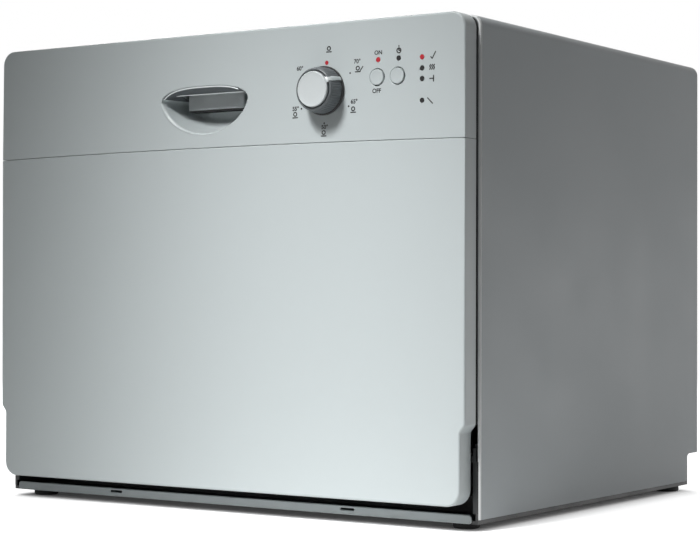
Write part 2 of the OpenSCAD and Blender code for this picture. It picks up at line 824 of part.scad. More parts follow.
module fascia() {
  color(door_paint) place() {
    difference() {
      slab_xz(0, door_return)
        difference() { door_outline(0); below_seam(-seam_gap / 2); }
      slab_xz(door_skin, door_return)
        difference() { door_outline(door_skin); below_seam(-seam_gap / 2 - door_skin); }
      slab_xz(liner_flange_y - seat_gap, door_return) door_outline(door_skin);
      slab_xz(-1, door_skin + 2)
        recess_outline(handle_w / 2, recess_rise, handle_h - recess_rise);
      rod_y(knob_x, knob_z, -1, door_skin + 1, spindle_r + pass_gap);
      for (x = [start_x, delay_x])
        rod_y(x, button_z, -1, door_skin + 1, button_r + seat_gap);
      for (p = lamps_at) rod_y(p[0], p[1], -1, door_skin + 1, lamp_r + run_gap);
    }
    for (x = board_x, z = board_z)
      rod_y(x + (x == board_x[0] ? board_post_inset : -board_post_inset),
        z + (z == board_z[0] ? board_post_inset : -board_post_inset), door_skin, board_y,
        board_post_r);
  }
}

// The recess as a scoop that runs in to a smaller back wall, with a deeper bowl for the fingers below
module scoop(front_y, grow) {
  face = 0.1;
  front_half = handle_w / 2 + grow;
  front_fall = handle_h - recess_rise + grow;
  hull() {
    slab_xz(front_y, face) recess_outline(front_half, recess_rise + grow, front_fall);
    slab_xz(handle_d + grow - face, face)
      recess_outline(scoop_half + grow, scoop_rise + grow, scoop_fall + grow);
  }
  hull() {
    slab_xz(front_y, face) recess_outline(front_half, bowl_rise + grow, front_fall);
    slab_xz(bowl_d + grow - face, face)
      recess_outline(bowl_half + grow, bowl_rise + grow, scoop_fall + grow);
  }
}

module handle_pocket() {
  slot_half = latch_half - 6;
  color("#aab3b3") place() difference() {
    scoop(door_skin, scoop_wall);
    scoop(door_skin - 0.5, 0);
    translate([handle_x - slot_half, latch_y - 9, handle_top - 8]) cube([2 * slot_half, 11, 14]);
  }
}

module door_liner() {
  color(stainless) place() difference() {
    union() {
      slab_xz(liner_flange_y, steel_t) door_outline(door_skin + 0.1);
      slab_xz(liner_flange_y, liner_face - liner_flange_y)
        rounded(-liner_half, liner_half, liner_low_z, liner_top_z, 12);
    }
    slab_xz(liner_flange_y - 1, liner_face - liner_flange_y + 1 - steel_t)
      rounded(-liner_half + steel_t, liner_half - steel_t,
        liner_low_z + steel_t, liner_top_z - steel_t, 10.8);
    translate([disp_x - disp_w / 2, liner_face - 3, disp_z - disp_h / 2])
      cube([disp_w, 5, disp_h]);
    translate([handle_x - 7, liner_face - 3, hook_z - 6]) cube([14, 5, 12]);
    rod_x(hinge_y, hinge_z, -half_w, half_w, pin_r + 0.6);
    for (p = door_screw_seats) rod_y(p[0], p[1], liner_face - 3, liner_face + 1, screw_r);
  }
}

module door_insulation() {
  color("#4b4d4c") place()
    translate([-felt_half, door_skin, felt_z[0]])
      cube([2 * felt_half, felt_t, felt_z[1] - felt_z[0]]);
}

module door_screws() {
  color(stainless) place() for (p = door_screw_seats) {
    rod_y(p[0], p[1], liner_face + 1 - door_screw_l, liner_face + 1, screw_r);
    rod_y(p[0], p[1], liner_face, liner_face + 2, 4);
  }
}

module control_board() {
  color("#2f5d43") place() {
    translate([board_x[0], board_y, board_z[0]])
      cube([board_x[1] - board_x[0], board_t, board_z[1] - board_z[0]]);
    for (x = [start_x, delay_x])
      translate([x - 3, board_y - 1.7, button_z - 3]) cube([6, 1.7, 6]);
    translate([board_x[0] + 15, board_y + board_t, board_z[0] + 8]) cube([28, 14, 18]);
    translate([board_x[0] + 60, board_y + board_t, board_z[0] + 8]) cube([22, 10, 22]);
  }
}

module selector_switch() {
  color("#20242a") place() difference() {
    rod_y(knob_x, knob_z, board_y - switch_t, board_y, switch_r);
    rod_y(knob_x, knob_z, board_y - switch_t - 1, board_y - 1, spindle_r + run_gap);
  }
}

module indicator_lamps() {
  color("#a01818") place() for (p = lamps_at) rod_y(p[0], p[1], -0.3, board_y, lamp_r);
}

module program_knob() {
  front = -(knob_out - cap_t);
  color("#4a4d4f") place() {
    translate([knob_x, -skirt_gap, knob_z]) rotate([90, 0, 0]) rotate_extrude($fn = 96)
      polygon([[0, 0], [knob_r, 0], [knob_r - 0.6, 6], [knob_r - 3, -front - skirt_gap - 2],
        [knob_r - 5, -front - skirt_gap], [0, -front - skirt_gap]]);
    rod_y(knob_x, knob_z, -skirt_gap, board_y - 1.5, spindle_r);
  }
}

module knob_cap() {
  cap_r = knob_r - 5.5;
  color(silver) place() translate([knob_x, -knob_out + cap_t, knob_z])
    rotate([90, -knob_angle, 0]) {
      cylinder(h = cap_t, r = cap_r, $fn = 64);
      translate([0, -2.5, 0]) cube([knob_r - 2.5, 5, cap_t]);
      translate([knob_r - 2.5, 0, 0]) cylinder(h = cap_t, r = 2.5, $fn = 32);
    }
}

module push_button(x) {
  color(silver) place() {
    rod_y(x, button_z, -1.2, 6, button_r);
    rod_y(x, button_z, 6, board_y - 1.7 - button_travel - seat_gap, 3);
  }
}

module start_button() { push_button(start_x); }
module delay_button() { push_button(delay_x); }

// The lid's track is the recess over the whole width of the dispenser
module dispenser_body() {
  low = disp_z - disp_h / 2;
  color("#c9cfd2") place() difference() {
    translate([disp_x - disp_w / 2, liner_face - disp_d, low]) cube([disp_w, disp_d, disp_h]);
    translate([disp_x - 76, liner_face - lid_t - 0.5, disp_z - 17])
      cube([152, lid_t + 1, lid_h + 1]);
    translate([disp_x - 70, liner_face - disp_d + 2.5, disp_z - 12]) cube([60, disp_d, 44]);
    rod_y(rinse_x, rinse_z, liner_face - 6, liner_face + 1, rinse_r + run_gap);
  }
}

module dispenser_lid() {
  color("#8f979b") place() difference() {
    translate([disp_x - 75, liner_face - lid_t - 0.2, disp_z - 16.5])
      cube([lid_w, lid_t, lid_h]);
    for (rib = [0:3])
      translate([disp_x - 65 + rib * 5, liner_face - 1.2, disp_z - 5]) cube([2, 3, 30]);
  }
}

module rinse_aid_cap() {
  color("#5f666a") place() difference() {
    rod_y(rinse_x, rinse_z, liner_face - 5.7, liner_face - 0.2, rinse_r);
    for (side = [-1, 1])
      translate([rinse_x + side * 7.5 - 4, liner_face - 3, rinse_z - 9]) cube([8, 4, 18]);
  }
}

module latch_body() {
  top = liner_top_z - steel_t - 0.5;
  back = liner_face - steel_t;
  color("#3a3d3f") place() {
    difference() {
      translate([handle_x - latch_half, latch_y + 5, latch_z - 7])
        cube([2 * latch_half, back - latch_y - 5, top - latch_z + 7]);
      translate([handle_x - hook_t / 2 - 1.5, latch_y + 4, latch_z - 3])
        cube([hook_t + 3, 40, 40]);
    }
    rod_x(hook_y, hook_z, handle_x - hook_t, handle_x + hook_t, latch_rod_r);
    for (side = [-1, 1]) difference() {
      translate([handle_x + side * (latch_half - 3) - 3, latch_y - 5, latch_z - 5])
        cube([6, 12, 10]);
      rod_x(latch_y, latch_z, handle_x + side * (latch_half - 3) - 4,
        handle_x + side * (latch_half - 3) + 4, latch_rod_r + run_gap);
    }
  }
}

module latch_handle() {
  plate_low = handle_top - 21;
  color(dark_plastic) place() {
    rod_x(latch_y, latch_z, handle_x - latch_half, handle_x + latch_half, latch_rod_r);
    translate([handle_x - lever_half, latch_y - 3, plate_low])
      cube([2 * lever_half, 3, latch_z - plate_low]);
  }
}

module latch_hook() {
  reach = hook_y + hook_reach;
  color(silver) place() difference() {
    union() {
      rod_x(hook_y, hook_z, handle_x - hook_t / 2, handle_x + hook_t / 2, 4.5);
      translate([handle_x - hook_t / 2, hook_y, hook_z - hook_h / 2])
        cube([hook_t, hook_reach, hook_h]);
      translate([handle_x - hook_t / 2, strike_y + strike_r + 0.6, hook_z - hook_h / 2 - 0.7])
        cube([hook_t, reach - strike_y - strike_r - 0.6, 2]);
    }
    rod_x(hook_y, hook_z, handle_x - hook_t, handle_x + hook_t, latch_rod_r + run_gap);
  }
}

function rim_at(y) = y > rack_shoulder[0] ? rack_rim
  : rack_lip_z + (rack_rim - rack_lip_z) * (y - rack_lip_y) / (rack_shoulder[0] - rack_lip_y);

module rack_floor() {
  long_count = 9;
  cross_count = 10;
  color(rack_blue) place() {
    for (i = [0:long_count]) let (x = -rack_half + 8 + i * (2 * rack_half - 16) / long_count)
      wire([x, rack_front_y, rack_z], [x, rack_rear_y, rack_z], wire_r);
    for (i = [0:cross_count])
      let (y = rack_front_y + 4 + i * (rack_rear_y - rack_front_y - 8) / cross_count)
        wire([-rack_half, y, cross_z], [rack_half, y, cross_z],
          wire_r);
  }
}

// One side grille; side is -1 at the left and 1 at the right
module rack_side(side) {
  x = side * rack_half;
  low = cross_z;
  color(rack_blue) place() {
    wire([x, rack_lip_y, rack_lip_z], [x, rack_shoulder[0], rack_rim], frame_wire_r);
    wire([x, rack_shoulder[0], rack_rim], [x, rack_rear_y, rack_rim], frame_wire_r);
    wire([x, rack_front_y, low], [x, rack_rear_y, low], frame_wire_r);
    wire([x, rack_lip_y, rack_lip_z], [x, rack_front_y, low], frame_wire_r);
    for (y = concat(side_wire_ys, [rack_rear_y]))
      wire([x, y, low], [x, y, rim_at(y)], wire_r);
    wire([x, rack_front_y + 5, 190], [x, rack_rear_y, 190], wire_r);
    for (p = [[x, rack_lip_y, rack_lip_z], [x, rack_shoulder[0], rack_rim],
        [x, rack_front_y, low], [x, rack_rear_y, low], [x, rack_rear_y, rack_rim]])
      translate(p) sphere(frame_wire_r + weld, $fn = 16);
    for (y = wheel_ys) {
      rod_x(y, wheel_z, side > 0 ? x : -tub_half + guide_t + pass_gap,
        side > 0 ? tub_half - guide_t - pass_gap : x, axle_r);
      translate([x - 2, y - 5, low]) cube([4, 10, wheel_z - low + 5]);
    }
  }
}

module rack_left() {
  rack_side(-1);
  color(rack_blue) place() for (y = clip_ys) difference() {
    union() {
      rod_y(shelf_x, shelf_z, y - 4, y + 4, 4);
      translate([-rack_half - 1, y - 4, shelf_z - 4]) cube([6, 8, 8]);
    }
    rod_y(shelf_x, shelf_z, y - 5, y + 5, wire_r + run_gap);
  }
}
module rack_right() { rack_side(1); }

module rack_back() {
  color(rack_blue) place() {
    wire([-rack_half, rack_rear_y, rack_rim], [rack_half, rack_rear_y, rack_rim], frame_wire_r);
    wire([-rack_half, rack_rear_y, 190], [rack_half, rack_rear_y, 190], wire_r);
    for (i = [1:7]) let (x = -rack_half + i * rack_half / 4)
      wire([x, rack_rear_y, rack_z], [x, rack_rear_y, rack_rim], wire_r);
  }
}

module rack_front() {
  color(rack_blue) place() {
    wire([-rack_half, rack_lip_y, rack_lip_z], [rack_half, rack_lip_y, rack_lip_z], frame_wire_r);
    for (i = [1:7]) let (x = -rack_half + i * rack_half / 4)
      wire([x, rack_lip_y, rack_lip_z], [x, rack_front_y, rack_z], wire_r);
  }
}

module plate_tines() {
  color(rack_blue) place() for (y = tine_rows) {
    wire([tine_x[0], y, cross_z], [tine_x[1], y, cross_z], wire_r);
    for (i = [0:tine_count]) let (x = tine_x[0] + i * (tine_x[1] - tine_x[0]) / tine_count)
      wire([x, y, cross_z], [x, y, cross_z + tine_h], wire_r);
  }
}

module rack_wheel(side, y) {
  inner = rack_half + 5;
  color(white_plastic) place() difference() {
    rod_x(y, wheel_z, side > 0 ? inner : -inner - wheel_w, side > 0 ? inner + wheel_w : -inner,
      wheel_r);
    rod_x(y, wheel_z, -half_w, half_w, axle_r + run_gap);
  }
}

module rack_wheel_front_left() { rack_wheel(-1, wheel_ys[0]); }
module rack_wheel_front_right() { rack_wheel(1, wheel_ys[0]); }
module rack_wheel_rear_left() { rack_wheel(-1, wheel_ys[1]); }
module rack_wheel_rear_right() { rack_wheel(1, wheel_ys[1]); }

module cutlery_basket() {
  wall = 2;
  low = cross_z + wire_r + seat_gap;
  cell = [(basket[0] - 3 * wall) / 2, (basket[1] - 5 * wall) / 4];
  color("#9aa4ad") place() translate([basket_x, basket_y, low]) {
    difference() {
      cube([basket[0], basket[1], basket_h]);
      for (i = [0:1], j = [0:3])
        translate([wall + i * (cell[0] + wall), wall + j * (cell[1] + wall), wall])
          cube([cell[0], cell[1], basket_h]);
    }
    difference() {
      translate([basket[0] / 2 - 2, basket[1] / 2 - 30, basket_h - 1]) cube([4, 60, 34]);
      translate([basket[0] / 2 - 3, basket[1] / 2 - 24, basket_h - 2]) cube([6, 48, 29]);
    }
  }
}

// Two long wires, at the pivot and the tip, with the cross wires welded under them
module cup_shelf() {
  tip = shelf_x + shelf_reach;
  low = shelf_z - 2 * wire_r + weld;
  past = wire_r + weld;
  pitch = (shelf_ys[1] - shelf_ys[0]) / shelf_gaps;
  color(rack_blue) place() {
    for (x = [shelf_x, tip])
      wire([x, shelf_ys[0] - past, shelf_z], [x, shelf_ys[1] + past, shelf_z], wire_r);
    for (i = [0:shelf_gaps]) let (y = shelf_ys[0] + i * pitch)
      wire([shelf_x, y, low], [tip + past, y, low], wire_r);
  }
}

cabinet_wrap();
rear_panel();
base_tray();
kick_plate();
feet();
tub();
door_gasket();
rack_guide_left();
rack_guide_right();
sump();
fine_filter();
coarse_filter();
heater();
spray_arm();
softener_tank();
salt_cap();
float_bell();
circulation_pump();
drain_pump();
drain_pipe();
inlet_valve();
air_break();
cable_gland();
hinge_bracket_left();
hinge_bracket_right();
strike_plate();
cabinet_screws();
door_panel();
fascia();
handle_pocket();
door_liner();
door_insulation();
hinge_arm_left();
hinge_arm_right();
control_board();
indicator_lamps();
selector_switch();
dispenser_body();
latch_body();
door_screws();
latch_handle();
latch_hook();
program_knob();
knob_cap();
start_button();
delay_button();
dispenser_lid();
rinse_aid_cap();
rack_floor();
rack_left();
rack_right();
rack_back();
rack_front();
plate_tines();
rack_wheel_front_left();
rack_wheel_front_right();
rack_wheel_rear_left();
rack_wheel_rear_right();
cutlery_basket();
cup_shelf();
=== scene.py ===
# The visible finish of a countertop dishwasher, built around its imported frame.
# Sizes in the text are millimetres, Blender works in metres, and the door faces -Y.
import json
import math

import bmesh
import bpy
from mathutils import Matrix, Vector
from mathutils.geometry import tessellate_polygon


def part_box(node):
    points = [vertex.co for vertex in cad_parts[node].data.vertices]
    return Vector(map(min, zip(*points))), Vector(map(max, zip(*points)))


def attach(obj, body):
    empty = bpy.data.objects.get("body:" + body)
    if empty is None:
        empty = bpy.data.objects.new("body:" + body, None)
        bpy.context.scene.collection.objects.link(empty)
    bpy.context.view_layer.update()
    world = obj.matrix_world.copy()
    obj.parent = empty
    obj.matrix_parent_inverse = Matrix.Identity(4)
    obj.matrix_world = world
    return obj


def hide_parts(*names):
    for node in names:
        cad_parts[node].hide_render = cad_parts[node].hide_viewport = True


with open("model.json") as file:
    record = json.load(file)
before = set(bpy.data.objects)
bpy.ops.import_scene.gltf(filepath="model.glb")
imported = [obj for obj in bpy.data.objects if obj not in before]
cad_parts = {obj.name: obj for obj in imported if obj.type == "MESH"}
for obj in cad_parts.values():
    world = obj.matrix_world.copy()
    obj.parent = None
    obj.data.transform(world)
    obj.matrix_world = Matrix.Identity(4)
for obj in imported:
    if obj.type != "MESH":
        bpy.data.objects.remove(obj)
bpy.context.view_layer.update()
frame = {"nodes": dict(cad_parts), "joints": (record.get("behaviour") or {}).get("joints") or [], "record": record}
MM = 0.001

# Base tray
# One injection moulding of black polypropylene that carries every other piece of the machine.
# The mould's spark-eroded faces leave a fine grain, so it looks matt with a soft broken gloss.


def tone(code):
    """An sRGB hex colour as the linear colour that Blender works in."""
    parts = [int(code[i:i + 2], 16) / 255 for i in (1, 3, 5)]
    return [p / 12.92 if p <= 0.04045 else ((p + 0.055) / 1.055) ** 2.4 for p in parts] + [1.0]


def add_node(owner, kind, values=None, links=None, **settings):
    """Adds one node with its settings, socket values and links from (node, output) pairs."""
    node = owner.node_tree.nodes.new(kind)
    for name, value in settings.items():
        setattr(node, name, value)
    for socket, value in (values or {}).items():
        node.inputs[socket].default_value = value
    for socket, (source, output) in (links or {}).items():
        owner.node_tree.links.new(source.outputs[output], node.inputs[socket])
    return node


def new_finish(name, colour, roughness, metallic=0.0, **sockets):
    """A material whose shader has these flat values; sockets are named with _ for a space."""
    material = bpy.data.materials.new(name)
    material.use_nodes = True
    shader = material.node_tree.nodes["Principled BSDF"]
    shader.inputs["Base Color"].default_value = tone(colour)
    shader.inputs["Roughness"].default_value = roughness
    shader.inputs["Metallic"].default_value = metallic
    for socket, value in sockets.items():
        shader.inputs[socket.replace("_", " ")].default_value = value
    return material


def add_grain(material, size, depth, stretch=(1, 1, 1), uneven=0.06, patch=40):
    """Surface grain of a real size and depth, and gloss that differs a little from patch to patch."""
    shader = material.node_tree.nodes["Principled BSDF"]
    place = add_node(material, "ShaderNodeTexCoord")
    lines = add_node(material, "ShaderNodeMapping", {"Scale": [1 / s for s in stretch]},
                     {"Vector": (place, "Object")})
    grain = add_node(material, "ShaderNodeTexNoise", {"Scale": 1 / (size * MM), "Detail": 3.0},
                     {"Vector": (lines, "Vector")})
    bump = add_node(material, "ShaderNodeBump", {"Distance": depth * MM, "Strength": 1.0},
                    {"Height": (grain, "Fac")})
    wiped = add_node(material, "ShaderNodeTexNoise", {"Scale": 1 / (patch * MM), "Detail": 2.0},
                     {"Vector": (place, "Object")})
    flat = shader.inputs["Roughness"].default_value
    gloss = add_node(material, "ShaderNodeMapRange",
                     {"From Min": 0.3, "From Max": 0.7, "To Min": flat - uneven, "To Max": flat + uneven},
                     {"Value": (wiped, "Fac")})
    material.node_tree.links.new(bump.outputs["Normal"], shader.inputs["Normal"])
    material.node_tree.links.new(gloss.outputs["Result"], shader.inputs["Roughness"])
    return material


def dress(material, slot, *nodes):
    """Gives CAD nodes whose shape is right their finish."""
    for name in nodes:
        node = frame["nodes"][name]
        node.data.materials.clear()
        node.data.materials.append(material)


black_polypropylene = add_grain(new_finish("black_moulded_polypropylene", "#1c1d1e", 0.5), 0.9, 0.03)
dress(black_polypropylene, "base_plastic", "base_tray", "drain_pump", "circulation_pump")

# Feet
# Four pressed rubber feet, each held by its stem in a hole of the tray.
# Rubber is dull and dusty grey where it meets the worktop, so the tread is a little paler.


def add_ring(bm, points):
    """Adds one ring of points."""
    return [bm.verts.new(p) for p in points]


def join_rings(bm, *rings, closed=True):
    """Joins rings of as many points, each to the next, with quads."""
    for one, two in zip(rings, rings[1:]):
        for i in range(len(one) if closed else len(one) - 1):
            j = (i + 1) % len(one)
            bm.faces.new((one[i], one[j], two[j], two[i]))


def turn(bm, centre, axis, profile, count=48):
    """Turns a profile of (radius, height) pairs round an axis; a radius of 0 at an end closes it."""
    side = Vector(axis).orthogonal().normalized()
    other = Vector(axis).cross(side)
    angles = [2 * math.pi * i / count for i in range(count)]
    rings = []
    for radius, height in profile:
        middle = Vector(centre) + Vector(axis) * height
        if radius > 0:
            rings.append(add_ring(bm, [middle + radius * (side * math.cos(a) + other * math.sin(a))
                                       for a in angles]))
        else:
            rings.append([bm.verts.new(middle)])
    for one, two in zip(rings, rings[1:]):
        if len(one) > 1 and len(two) > 1:
            join_rings(bm, one, two)
        else:
            tip, ring = (one, two) if len(one) == 1 else (two, one)
            for i in range(count):
                bm.faces.new((tip[0], ring[i], ring[(i + 1) % count]))


def make_piece(bm, name, body, material, replaced=(), sharp=35):
    """Turns finished mesh work into a piece that rides on its body."""
    bmesh.ops.recalc_face_normals(bm, faces=bm.faces)
    mesh = bpy.data.meshes.new(name)
    bm.to_mesh(mesh)
    bm.free()
    mesh.shade_smooth()
    mesh.set_sharp_from_angle(angle=math.radians(sharp))
    piece = bpy.data.objects.new(name, mesh)
    bpy.context.scene.collection.objects.link(piece)
    mesh.materials.append(material)
    weighted = piece.modifiers.new("face_weighted_shading", "WEIGHTED_NORMAL")
    weighted.keep_sharp = True
    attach(piece, body)
    if replaced:
        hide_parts(*replaced)
    return piece


foot_rubber = add_grain(new_finish("pressed_rubber", "#161616", 0.75), 0.5, 0.04)
foot_profile = [(0, 0.4), (7, 0.4), (7.6, 0), (10.8, 0), (12, 1.2), (12, 4.4), (11.4, 5.7), (4, 5.7),
                (4, 8.8), (0, 8.8)]
mesh_work = bmesh.new()
for mount in frame["record"]["mounts"]:
    if mount["name"].startswith("foot_"):
        turn(mesh_work, mount["pos_m"], (0, 0, 1), [(r * MM, h * MM) for r, h in foot_profile])
make_piece(mesh_work, "rubber_feet", "root", foot_rubber, ["feet"])

# Kick strip
# A narrow strip of painted sheet in front of the tray, with a rolled edge and two catch slots.
# Its grey coat is duller than the door's, and its colour is painted darker as a painted shadow of the door that
# overhangs it.


def arc(x, z, radius, start, end, steps):
    """Points along an arc, with its angles in degrees."""
    angles = [math.radians(start + (end - start) * i / steps) for i in range(steps + 1)]
    return [(x + radius * math.cos(a), z + radius * math.sin(a)) for a in angles]


def rounded(x1, x2, z1, z2, radius, steps=8):
    """A rectangle with round corners, anticlockwise from its lower left corner."""
    return (arc(x1 + radius, z1 + radius, radius, 180, 270, steps)
            + arc(x2 - radius, z1 + radius, radius, 270, 360, steps)
            + arc(x2 - radius, z2 - radius, radius, 0, 90, steps)
            + arc(x1 + radius, z2 - radius, radius, 90, 180, steps))


def inset(outline, by):
    """An anticlockwise outline moved inwards, by one distance or by one for each point.

    At a very sharp corner the mitre is held to 2.5 times the distance.
    """
    count = len(outline)
    moved = []
    for i, (x, z) in enumerate(outline):
        before = Vector(outline[i]) - Vector(outline[i - 1])
        after = Vector(outline[(i + 1) % count]) - Vector(outline[i])
        before.normalize()
        after.normalize()
        normal = Vector((-before.y - after.y, before.x + after.x)).normalized()
        cosine = max(normal.dot(Vector((-before.y, before.x))), 0.4)
        distance = (by[i] if isinstance(by, list) else by) / cosine
        moved.append((x + normal.x * distance, z + normal.y * distance))
    return moved


def upright(points, y):
    """An outline of the front view as points at this depth."""
    return [(x, y, z) for x, z in points]


def press(bm, outline, steps):
    """Rings of an outline at each (inset, depth), joined; returns the first and the last ring."""
    rings = [add_ring(bm, upright(inset(outline, by), depth)) for by, depth in steps]
    join_rings(bm, *rings)
    return rings[0], rings[-1]


def round_over(radius, steps):
    """The (inset, depth) steps of a rounded front edge."""
    angles = [math.pi / 2 * i / steps for i in range(steps + 1)]
    return [(radius * (1 - math.sin(a)), radius * (1 - math.cos(a))) for a in angles]


def close_face(bm, *loops):
    """Fills the flat face inside the first ring, with the other rings as holes in it."""
    points = [v for loop in loops for v in loop]
    for triangle in tessellate_polygon([[v.co for v in loop] for loop in loops]):
        bm.faces.new([points[i] for i in triangle])


RIM_STEPS = 4


def plate(bm, outline, holes, front, back, edge):
    """A plate with rounded front edges and rims of its holes."""
    steps = [(by, front + depth) for by, depth in round_over(edge, RIM_STEPS)]
    first, last = press(bm, outline, steps + [(0, back)])
    rims = [press(bm, hole, [(-by, depth) for by, depth in steps] + [(0, back)]) for hole in holes]
    close_face(bm, first, *[rim[0] for rim in rims])
    close_face(bm, last, *[rim[1] for rim in rims])


def coat_grain(material):
    """Sprayed coat over sheet or plastic: faint orange peel about 1.5 mm across."""
    return add_grain(material, 1.5, 0.004, uneven=0.03, patch=70)


kick_strip_shaded_coat = coat_grain(new_finish("dull_grey_lacquer_painted_shade", "#a2a9aa", 0.45))
kick_low, kick_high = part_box("kick_plate")
kick_corner = 3 * MM
catch_half = 7.5 * MM
catch_x = 136 * MM
catch_low = (kick_low.z + kick_high.z) / 2
catch_high = catch_low + 2 * MM
catch_slots = [rounded(x - catch_half, x + catch_half, catch_low, catch_high, 0.9 * MM, 4)
               for x in (-catch_x, catch_x)]
mesh_work = bmesh.new()
plate(mesh_work, rounded(kick_low.x, kick_high.x, kick_low.z, kick_high.z, kick_corner), catch_slots,
      kick_low.y, kick_high.y, 1.0 * MM)
make_piece(mesh_work, "kick_strip", "root", kick_strip_shaded_coat, ["kick_plate"])

# Tub
# A box of thin stainless sheet, pressed and seam-welded, with a flange round its mouth.
# The sheet is brushed from front to back, so its highlights draw out into streaks.


def brushed_steel(name, colour, roughness, stretch):
    """Brushed sheet; the brush lines are drawn 0.6 mm apart, as finer ones wouldn't show."""
    return add_grain(new_finish(name, colour, roughness, 1.0), 0.6, 0.004, stretch, 0.03, 60)


tub_steel = brushed_steel("brushed_stainless_sheet", "#b9bcbd", 0.32, (1, 40, 1))
dress(tub_steel, "stainless_steel", "tub", "fine_filter")

# Door seal and rack guides
# The seal is an extruded rubber strip; the guides are white acetal channels clipped into the tub.
# Rubber is dull and nearly black, acetal is milky with a slight wax gloss.
seal_rubber = add_grain(new_finish("extruded_rubber", "#1b1b1c", 0.62), 0.6, 0.02)
white_acetal = add_grain(new_finish("white_acetal", "#e2e3df", 0.38, Subsurface_Weight=0.05), 0.8, 0.01)
dress(seal_rubber, "seal_rubber", "door_gasket")
dress(white_acetal, "white_plastic", "rack_guide_left", "rack_guide_right", "float_bell", "inlet_valve",
      "softener_tank", "rack_wheel_front_left", "rack_wheel_front_right", "rack_wheel_rear_left",
      "rack_wheel_rear_right")

# Sump, filters, spray arm and heater
# Grey glass-filled polypropylene for the wet mouldings, and an incoloy tube for the heater loop.
# The filled plastic is matt with tiny streaks; the heater is dark and lightly scaled.
grey_polypropylene = add_grain(new_finish("grey_filled_polypropylene", "#8b9193", 0.45), 0.9, 0.02)
heater_tube = add_grain(new_finish("scaled_heater_tube", "#6b6a68", 0.42, 1.0), 0.8, 0.02, uneven=0.12,
                        patch=14)
dress(grey_polypropylene, "grey_plastic", "sump", "coarse_filter", "spray_arm", "drain_pipe")
dress(heater_tube, "heater_steel", "heater")
dress(black_polypropylene, "base_plastic", "salt_cap", "cable_gland")

# Air break
# A flat water chamber of two clear polystyrene halves, welded, at the left of the tub.
# It shows frosted because its inner face is ribbed.
frosted_polystyrene = add_grain(new_finish("frosted_polystyrene", "#cfd6d6", 0.3, Transmission_Weight=0.3),
                                2.5, 0.05)
dress(frosted_polystyrene, "clear_plastic", "air_break")

# Cabinet
# One steel sheet bent over the top and both sides, with its front edge rolled inwards.
# Its powder coat is a darker grey than the door's lacquer, and its satin surface is a little duller.
cabinet_coat = add_grain(new_finish("satin_powder_coat", "#a0a7aa", 0.42), 1.2, 0.006, uneven=0.03, patch=80)
wrap_low, wrap_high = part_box("cabinet_wrap")
SHEET = 1.2 * MM
bend_r = 10 * MM
edge_r = 1.6 * MM
flange = 10 * MM
front_flange_z = 92 * MM
rear_flange_z = 88.5 * MM
rear_flange_back = 4 * MM
cut_arris = 0.4 * MM
fold_r = 0.8 * MM
notch_depth = 26 * MM
notch_z = 38.5 * MM
notch_r = 6 * MM


def rear_end(z):
    """Where the side sheet ends at the back at this height, with the notch at its foot."""
    if z >= notch_z:
        return wrap_high.y
    rise = max(z - notch_z + notch_r, 0)
    return wrap_high.y - notch_depth + notch_r - math.sqrt(notch_r * notch_r - rise * rise)


def wrap_section(x, z, inward, height):
    """The sheet's cross-section from its front flange to its rear one, at one place of the bend."""
    front = flange if height >= front_flange_z else SHEET
    rear = flange if height >= rear_flange_z else SHEET
    back = rear_end(height)
    rear_face = back - rear_flange_back
    inner = wrap_low.y + SHEET
    steps = [(front, wrap_low.y), (edge_r, wrap_low.y)]
    steps += [(edge_r * (1 - math.sin(a)), wrap_low.y + edge_r * (1 - math.cos(a)))
              for a in (math.pi / 8, math.pi / 4, math.pi * 3 / 8, math.pi / 2)]
    steps += [(0, back - cut_arris), (cut_arris, back), (SHEET - cut_arris, back), (SHEET, back - cut_arris)]
    steps += [(SHEET, rear_face + SHEET), (rear, rear_face + SHEET), (rear, rear_face), (SHEET, rear_face)]
    steps += [(SHEET, inner + fold_r), (SHEET + fold_r, inner), (max(front, SHEET + fold_r), inner)]
    return [(x + inward[0] * by, y, z + inward[1] * by) for by, y in steps]


# The heights at which the sheet's section is drawn; those from 32.5 to 38.5 mm follow the notch's corner.
# Two a hair apart stand where the section changes at once: at the notch and where a flange starts.
HAIR = 0.01 * MM
low_leg = [wrap_low.z, 22 * MM, notch_z - notch_r, 34 * MM, 36 * MM, 37.6 * MM, notch_z - HAIR, notch_z,
           60 * MM, rear_flange_z - HAIR, rear_flange_z, front_flange_z - HAIR, front_flange_z, 200 * MM,
           320 * MM, wrap_high.z - bend_r]
side_x = wrap_high.x
TOP_STEPS = 6
bend_angles = [math.radians(a) for a in range(9, 90, 9)]
top_half = side_x - bend_r

# The bend line runs up the left side, round the corner, along the top and down the right side, mirrored.
bend_path = [(-side_x, z, (1, 0), z) for z in low_leg]
bend_path += [(-top_half - bend_r * math.cos(a), wrap_high.z - bend_r + bend_r * math.sin(a),
               (math.cos(a), -math.sin(a)), wrap_high.z) for a in bend_angles]
bend_path += [(-top_half + 2 * top_half * i / TOP_STEPS, wrap_high.z, (0, -1), wrap_high.z)
              for i in range(TOP_STEPS + 1)]
bend_path += [(-x, z, (-inward[0], inward[1]), height)
              for x, z, inward, height in bend_path[len(low_leg) + len(bend_angles) - 1::-1]]


def sweep(bm, path, section):
    """Runs a cross-section along a path of (x, z, inward, height) and closes both ends."""
    rings = [add_ring(bm, section(*place)) for place in path]
    join_rings(bm, *rings)
    close_face(bm, rings[0])
    close_face(bm, rings[-1])


mesh_work = bmesh.new()
sweep(mesh_work, bend_path, wrap_section)
make_piece(mesh_work, "cabinet_sheet", "root", cabinet_coat, ["cabinet_wrap"], sharp=30)

highlight_proud = 0.25 * MM
highlight_wall = 0.5 * MM
shade_strip_profile = [(2.6, 0.2), (2.6, -0.9), (3.0, -1.1), (8.2, -1.1), (8.6, -0.9), (8.6, 0.2)]


